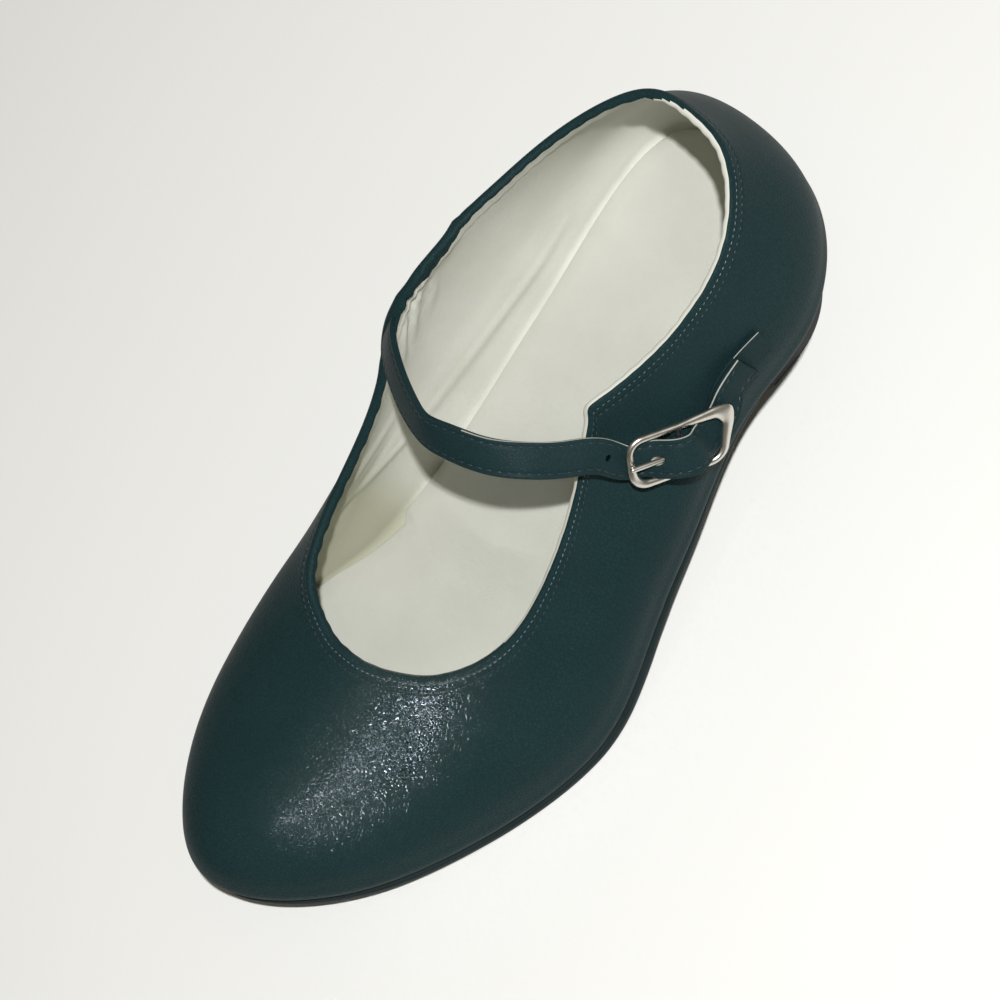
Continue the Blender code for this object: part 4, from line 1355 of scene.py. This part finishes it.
@dataclass
class Fastening:
    """Strap, buckle tab, buckle frame and prong."""

    strap_wide: float = 8.0
    strap_thick: float = 1.5
    strap_tilt: float = 14.0
    tilt_shares: tuple[float, ...] = (0.0, 0.5, 1.0, 1.0, 1.0, 0.7, 0.2, 0.0)
    hole_radius: float = 0.8
    hole_pitch: float = 13.5
    hole_corners: int = 28
    tab_wide: float = 7.4
    tab_thick: float = 0.8
    tab_slot: float = 2.2
    slot_reach: Place = (-1.4, 2.0, 2.0)
    loop_turn: Pair = (150.0, -90.0)
    loop_rows: int = 7
    frame_points: int = 240
    frame_corners: int = 24
    bend_points: int = 24
    wire_radius: float = 0.8
    wire_flat: float = 1.2
    wire_corners: int = 20
    ear: float = 2.6
    ear_reach: float = 1.8
    bar_radius: float = 0.7
    prong_radius: float = 0.6
    prong_long: float = 12.7
    prong_rise: float = 0.25
    prong_curl: Pair = (285.0, 90.0)
    prong_points: int = 30
    pin_clear: float = 0.4
    pin_span: Pair = (2.0, 9.0)

    def __post_init__(self) -> None:
        """Lays out both bands, the heights of tab loop and prong over the middle bar, and the axes."""
        self.middle, self.long, self.across, self.face = BUCKLE.axes()
        self.loop_high = self.bar_radius + GAP + self.tab_thick / 2
        self.pin_high = self.bar_radius + GAP + self.prong_radius
        laid = BUCKLE.band_rows(STRAP_IN_BUCKLE)
        tilt = np.radians(self.strap_tilt * np.array(self.tilt_shares))[:, None]
        laid[:, 3:] = laid[:, 3:] * np.cos(tilt) + self.across * np.sin(tilt)
        rows = np.vstack([rows_of(STRAP_BRIDGE), laid, rows_of(STRAP_END)])
        self.strap = Band("instep_strap", rows, self.strap_wide, self.strap_thick, stations=320,
                          raw_from=0.34, swell=0.12)
        turn = np.radians(np.linspace(*self.loop_turn, self.loop_rows))[:, None]
        spoke = self.long * np.cos(turn) + self.face * np.sin(turn)
        loop = np.concatenate([self.middle + spoke * self.loop_high, -spoke], 1)
        rows = np.vstack([loop, BUCKLE.band_rows(TAB_IN_BUCKLE), rows_of(TAB_END)])
        self.tab = Band("buckle_tab_leather", rows, self.tab_wide, self.tab_thick, stations=160,
                        raw_from=0.8, edge_round=0.2, crown=0.0, seam_in=1.0, seam_deep=0.05)

    def build_strap(self) -> None:
        """The strap with the prong's hole and one spare hole punched through."""
        strap = self.strap.build()
        pin = BUCKLE.point([[place, 0.0, self.pin_high] for place in self.pin_span])
        punch(strap, wire(pin, self.face, self.prong_radius + self.pin_clear, self.hole_corners), RAW_EDGE)
        line, side, face = self.strap.line()
        run = run_of(line)
        near = np.linalg.norm(line - BUCKLE.point(PRONG_HOLE[1:]), axis=1)
        spare = int(np.argmin(np.abs(run - (run[np.argmin(near)] - self.hole_pitch))))
        ends = line[spare] + np.array([[-1.0], [1.0]]) * face[spare] * self.strap_thick
        punch(strap, wire(ends, side[spare], self.hole_radius, self.hole_corners), STRAP_LEATHER)
        dress(strap, "strap")

    def build_tab(self) -> None:
        """The tab, its loop slotted for the prong."""
        tab = self.tab.build()
        half = self.tab_slot / 2
        back, front, high = self.loop_high * np.array(self.slot_reach)
        corner = np.array([[-half, -high], [half, -high], [half, high], [-half, high]])
        ring = corner @ np.array([self.across, self.face])
        ends = self.middle + np.array([[back], [front]]) * self.long
        punch(tab, ends[:, None] + ring, RAW_EDGE)
        dress(tab, "buckle_tab")

    def frame_line(self) -> tuple[Array, Array]:
        """Closed frame line with rounded corners, and the bar's width between the widths at its corners.

        Returns:
            Plan points (along, across) and width factors.
        """
        table = rows_of(CORNERS)
        plan = table[:, :2]
        radius, width, bar_width = table[:, 2:].T
        to_last = unit(np.roll(plan, 1, 0) - plan)
        to_next = unit(np.roll(plan, -1, 0) - plan)
        half = np.arccos((to_last * to_next).sum(1)) / 2
        centre = plan + unit(to_last + to_next) * (radius / np.sin(half))[:, None]
        spoke = plan + to_last * (radius / np.tan(half))[:, None] - centre
        turn_way = np.sign(to_last[:, 1] * to_next[:, 0] - to_last[:, 0] * to_next[:, 1])
        turn = (turn_way * (math.pi - 2 * half))[:, None] * np.linspace(0.0, 1.0, self.bend_points)
        arcs = np.stack([spoke[:, :1] * np.cos(turn) - spoke[:, 1:] * np.sin(turn),
                         spoke[:, :1] * np.sin(turn) + spoke[:, 1:] * np.cos(turn)], -1) + centre[:, None]
        loop = np.vstack([arcs.reshape(-1, 2), arcs[0, :1]])
        run = run_of(loop)
        corner_at = run[self.bend_points // 2:-1:self.bend_points]
        bar_at = (corner_at + np.append(corner_at[1:], corner_at[0] + run[-1])) / 2
        at = np.linspace(0.0, run[-1], self.frame_points, endpoint=False)
        widths = np.interp(at, np.append(corner_at, bar_at), np.append(width, bar_width), period=run[-1])
        return along(run, loop, at), widths

    def build_frame(self) -> None:
        """The cast frame, wider at its heel-side bar, with its middle bar run into both sides."""
        plan, width = self.frame_line()
        line = BUCKLE.point(np.column_stack([plan, np.zeros(len(plan))]))
        travel = unit(np.roll(line, -1, 0) - np.roll(line, 1, 0))
        side = unit(np.cross(travel, self.face))
        turn = np.linspace(0.0, FULL_TURN, self.frame_corners, endpoint=False)
        outward = np.sign(((line - line.mean(0)) * side).sum(1).mean())
        ear = CORNERS[1]
        near = np.exp(-((plan - [ear.along, ear.across]) ** 2).sum(1) / self.ear_reach ** 2)
        lobe = 1.0 + self.ear * near[:, None] * np.clip(np.cos(turn) * outward, 0.0, 1.0)
        spread = (self.wire_radius * self.wire_flat * width)[:, None] * lobe * np.cos(turn)
        rise = np.sin(turn)[:, None] * self.face * self.wire_radius
        rings = line[:, None] + spread[..., None] * side[:, None] + rise
        quads, _ = grid_faces(rings, wrap=True)
        half = (CORNERS[0].across + ear.across) / 2
        ends = BUCKLE.point([[0.0, -half, 0.0], [0.0, half, 0.0]])
        bar = wire(ends, self.face, self.bar_radius, self.wire_corners)
        bar_quads, caps = grid_faces(bar, first=rings.size // 3)
        points = np.concatenate([rings.reshape(-1, 3), bar.reshape(-1, 3)])
        quads = np.concatenate([quads.reshape(-1, 4), bar_quads.reshape(-1, 4)])
        obj = mesh_piece("buckle_frame_metal", points, quads, [NICKEL], caps)
        dress(obj, "buckle_frame")

    def build_prong(self) -> None:
        """The prong: a wire curled round the middle bar, running over the near bar to a rounded tip."""
        reach = self.pin_high
        level = np.zeros(self.prong_points)
        turn = np.radians(np.linspace(*self.prong_curl, self.prong_points))
        curl = np.column_stack([np.cos(turn) * reach, level, np.sin(turn) * reach])
        share = np.sin(np.linspace(0.0, math.pi / 2, self.prong_points + 1))[1:]
        arm = np.column_stack([share * self.prong_long, level, reach + share * self.prong_rise])
        line = BUCKLE.point(np.vstack([curl, arm]))
        run = run_of(line)
        left = np.clip(np.minimum(run, run[-1] - run) / self.prong_radius, 0.0, 1.0)
        radius = self.prong_radius * np.sqrt(np.clip(1.0 - (1.0 - left) ** 2, 0.0, 1.0))
        rings = wire(line, self.across, radius, self.wire_corners)
        quads, _ = grid_faces(rings)
        obj = mesh_piece("buckle_prong_metal", rings, quads, [NICKEL])
        dress(obj, "buckle_prong")


def turn_to(axes: Sequence[Array], place: Array) -> Matrix:
    """Matrix of an object at a place in millimetres, from its three axes."""
    return Matrix(np.vstack([np.column_stack([*axes, place * MM]), [0.0, 0.0, 0.0, 1.0]]).tolist())


@dataclass(frozen=True)
class SoftLight:
    """A soft box in the row frame, in millimetres, that looks at a point; a grid narrows its beam."""

    name: str
    place: Place
    aim: Place
    size: float
    power: float
    beam: float = 180.0
    colour: str = "#ffffff"

    def build(self) -> None:
        """Adds the light, its back along the line from aim to place."""
        data = bpy.data.lights.new(self.name, "AREA")
        data.size = self.size * MM
        data.spread = math.radians(self.beam)
        data.energy = self.power
        data.color = to_linear(self.colour)[:3]
        obj = bpy.data.objects.new(self.name, data)
        place = np.array(self.place)
        back = unit(place - np.array(self.aim))
        up = unit(np.cross(back, [1.0, 0.0, 0.0]))
        obj.matrix_world = turn_to([np.cross(up, back), up, back], place)
        bpy.context.scene.collection.objects.link(obj)


class Shine(NamedTuple):
    """A gridded box for one place on the vamp: where it looks, which way it stands, and its watts."""

    name: str
    aim: Place
    way: Place
    power: float


SHINES = (
    Shine("toe_box", (8.0, -74.0, 30.0), (0.05, -0.53, 0.85), 0.00042),
    Shine("mid_box", (12.0, -60.0, 32.0), (0.09, -0.64, 0.76), 0.00008),
    Shine("throat_box", (15.0, -48.0, 35.0), (0.22, -0.78, 0.59), 0.00190),
)


@dataclass(frozen=True)
class Studio:
    """Paper sweep, soft light and the camera at the photograph's angle."""

    azimuth: float = 96.05
    elevation: float = 62.22
    roll: float = -55.47
    distance: float = 609.7
    target: Place = (7.34, 7.46, 52.72)
    lens: float = 100.0
    sensor: float = 36.0
    nearest: float = 10.0
    key_place: Place = (366.0, 127.0, 898.0)
    key_aim: Place = (20.0, 10.0, 35.0)
    key_size: float = 24.0
    key_power: float = 9.2
    shine_far: float = 800.0
    shine_size: float = 60.0
    shine_beam: float = 5.0
    shine_colour: str = "#e4f1ff"
    world_colour: str = "#efe9d0"
    world_power: float = 0.15
    floor_half: float = 2500.0
    floor_z: float = -0.2

    def lights(self) -> None:
        """Adds the key beside the camera, and gridded boxes past the toe that streak the vamp."""
        SoftLight("key_box", self.key_place, self.key_aim, self.key_size, self.key_power).build()
        for shine in SHINES:
            place = tuple(np.array(shine.aim) + unit(np.array(shine.way)) * self.shine_far)
            SoftLight(shine.name, place, shine.aim, self.shine_size, shine.power, self.shine_beam,
                      self.shine_colour).build()

    def floor(self) -> None:
        """Adds the paper, face up."""
        plan = self.floor_half * np.array([[-1.0, -1.0], [1.0, -1.0], [1.0, 1.0], [-1.0, 1.0]])
        corners = np.column_stack([plan, np.full(len(plan), self.floor_z)])
        floor = mesh_piece("floor", corners, np.arange(len(plan)), [PAPER])
        if floor.data.polygons[0].normal.z < 0:
            floor.data.flip_normals()

    def camera(self) -> None:
        """Adds the camera, turned about the target by azimuth and elevation and rolled about its axis."""
        az, el, roll = np.radians([self.azimuth, self.elevation, self.roll])
        back = np.array([math.sin(az) * math.cos(el), -math.cos(az) * math.cos(el), math.sin(el)])
        right = np.array([math.cos(az), math.sin(az), 0.0])
        up = np.cross(back, right)
        rolled = right * math.cos(roll) + up * math.sin(roll)
        axes = [rolled, up * math.cos(roll) - right * math.sin(roll), back]
        data = bpy.data.cameras.new("photo_camera")
        data.lens = self.lens
        data.sensor_width = self.sensor
        data.clip_start = self.nearest * MM
        camera = bpy.data.objects.new("photo_camera", data)
        camera.matrix_world = turn_to(axes, np.array(self.target) + back * self.distance)
        bpy.context.scene.collection.objects.link(camera)
        bpy.context.scene.camera = camera

    def build(self) -> None:
        """Adds floor, world, lights and camera."""
        self.floor()
        world = bpy.data.worlds.new("studio")
        world.use_nodes = True
        sky = {"Color": to_linear(self.world_colour), "Strength": self.world_power}
        set_inputs(world.node_tree, world.node_tree.nodes["Background"], sky)
        bpy.context.scene.world = world
        bpy.context.scene.view_settings.view_transform = "Standard"
        self.lights()
        self.camera()


def main() -> None:
    """Builds and dresses the shoe, then the studio."""
    logging.basicConfig(level=logging.INFO, format="%(name)s %(message)s")
    form = Form()
    upper = Upper(form)
    upper.build()
    StitchRow().sew("topline_stitches", [upper.topline(SEAM.at)], SUNK_THREAD)
    # The bead row's thread carries a painted sheen: its grey colour stands in for glints
    BEAD_ROW.sew("bead_stitches", [upper.topline(GROOVE.at)], SHEEN_PAINTED_THREAD)
    Plank(form, "insole_sock", SOCK_LAYERS, trim_in=(2.4, 0.0), trim_from=119.5, trim_end=139.0, cup=0.1,
          slack=SOCK_WAVE).build(SOCK_SKIN, "insole")
    Plank(form, "outsole_leather", SOLE_LAYERS, trim_in=(1.5, -1.5), trim_from=SOLE_CUT, trim_end=105.0,
          s_from=SOLE_CUT).build(SOLE_LEATHER, "outsole")
    Heel(form).build()
    fastening = Fastening()
    fastening.build_strap()
    fastening.build_tab()
    seams = [fastening.strap.seam(way, STRAP_SEWN) for way in (-1, 1)]
    STRAP_ROW.sew("strap_stitches", seams, SUNK_THREAD)
    fastening.build_frame()
    fastening.build_prong()
    Studio().build()


if __name__ == "__main__":
    main()
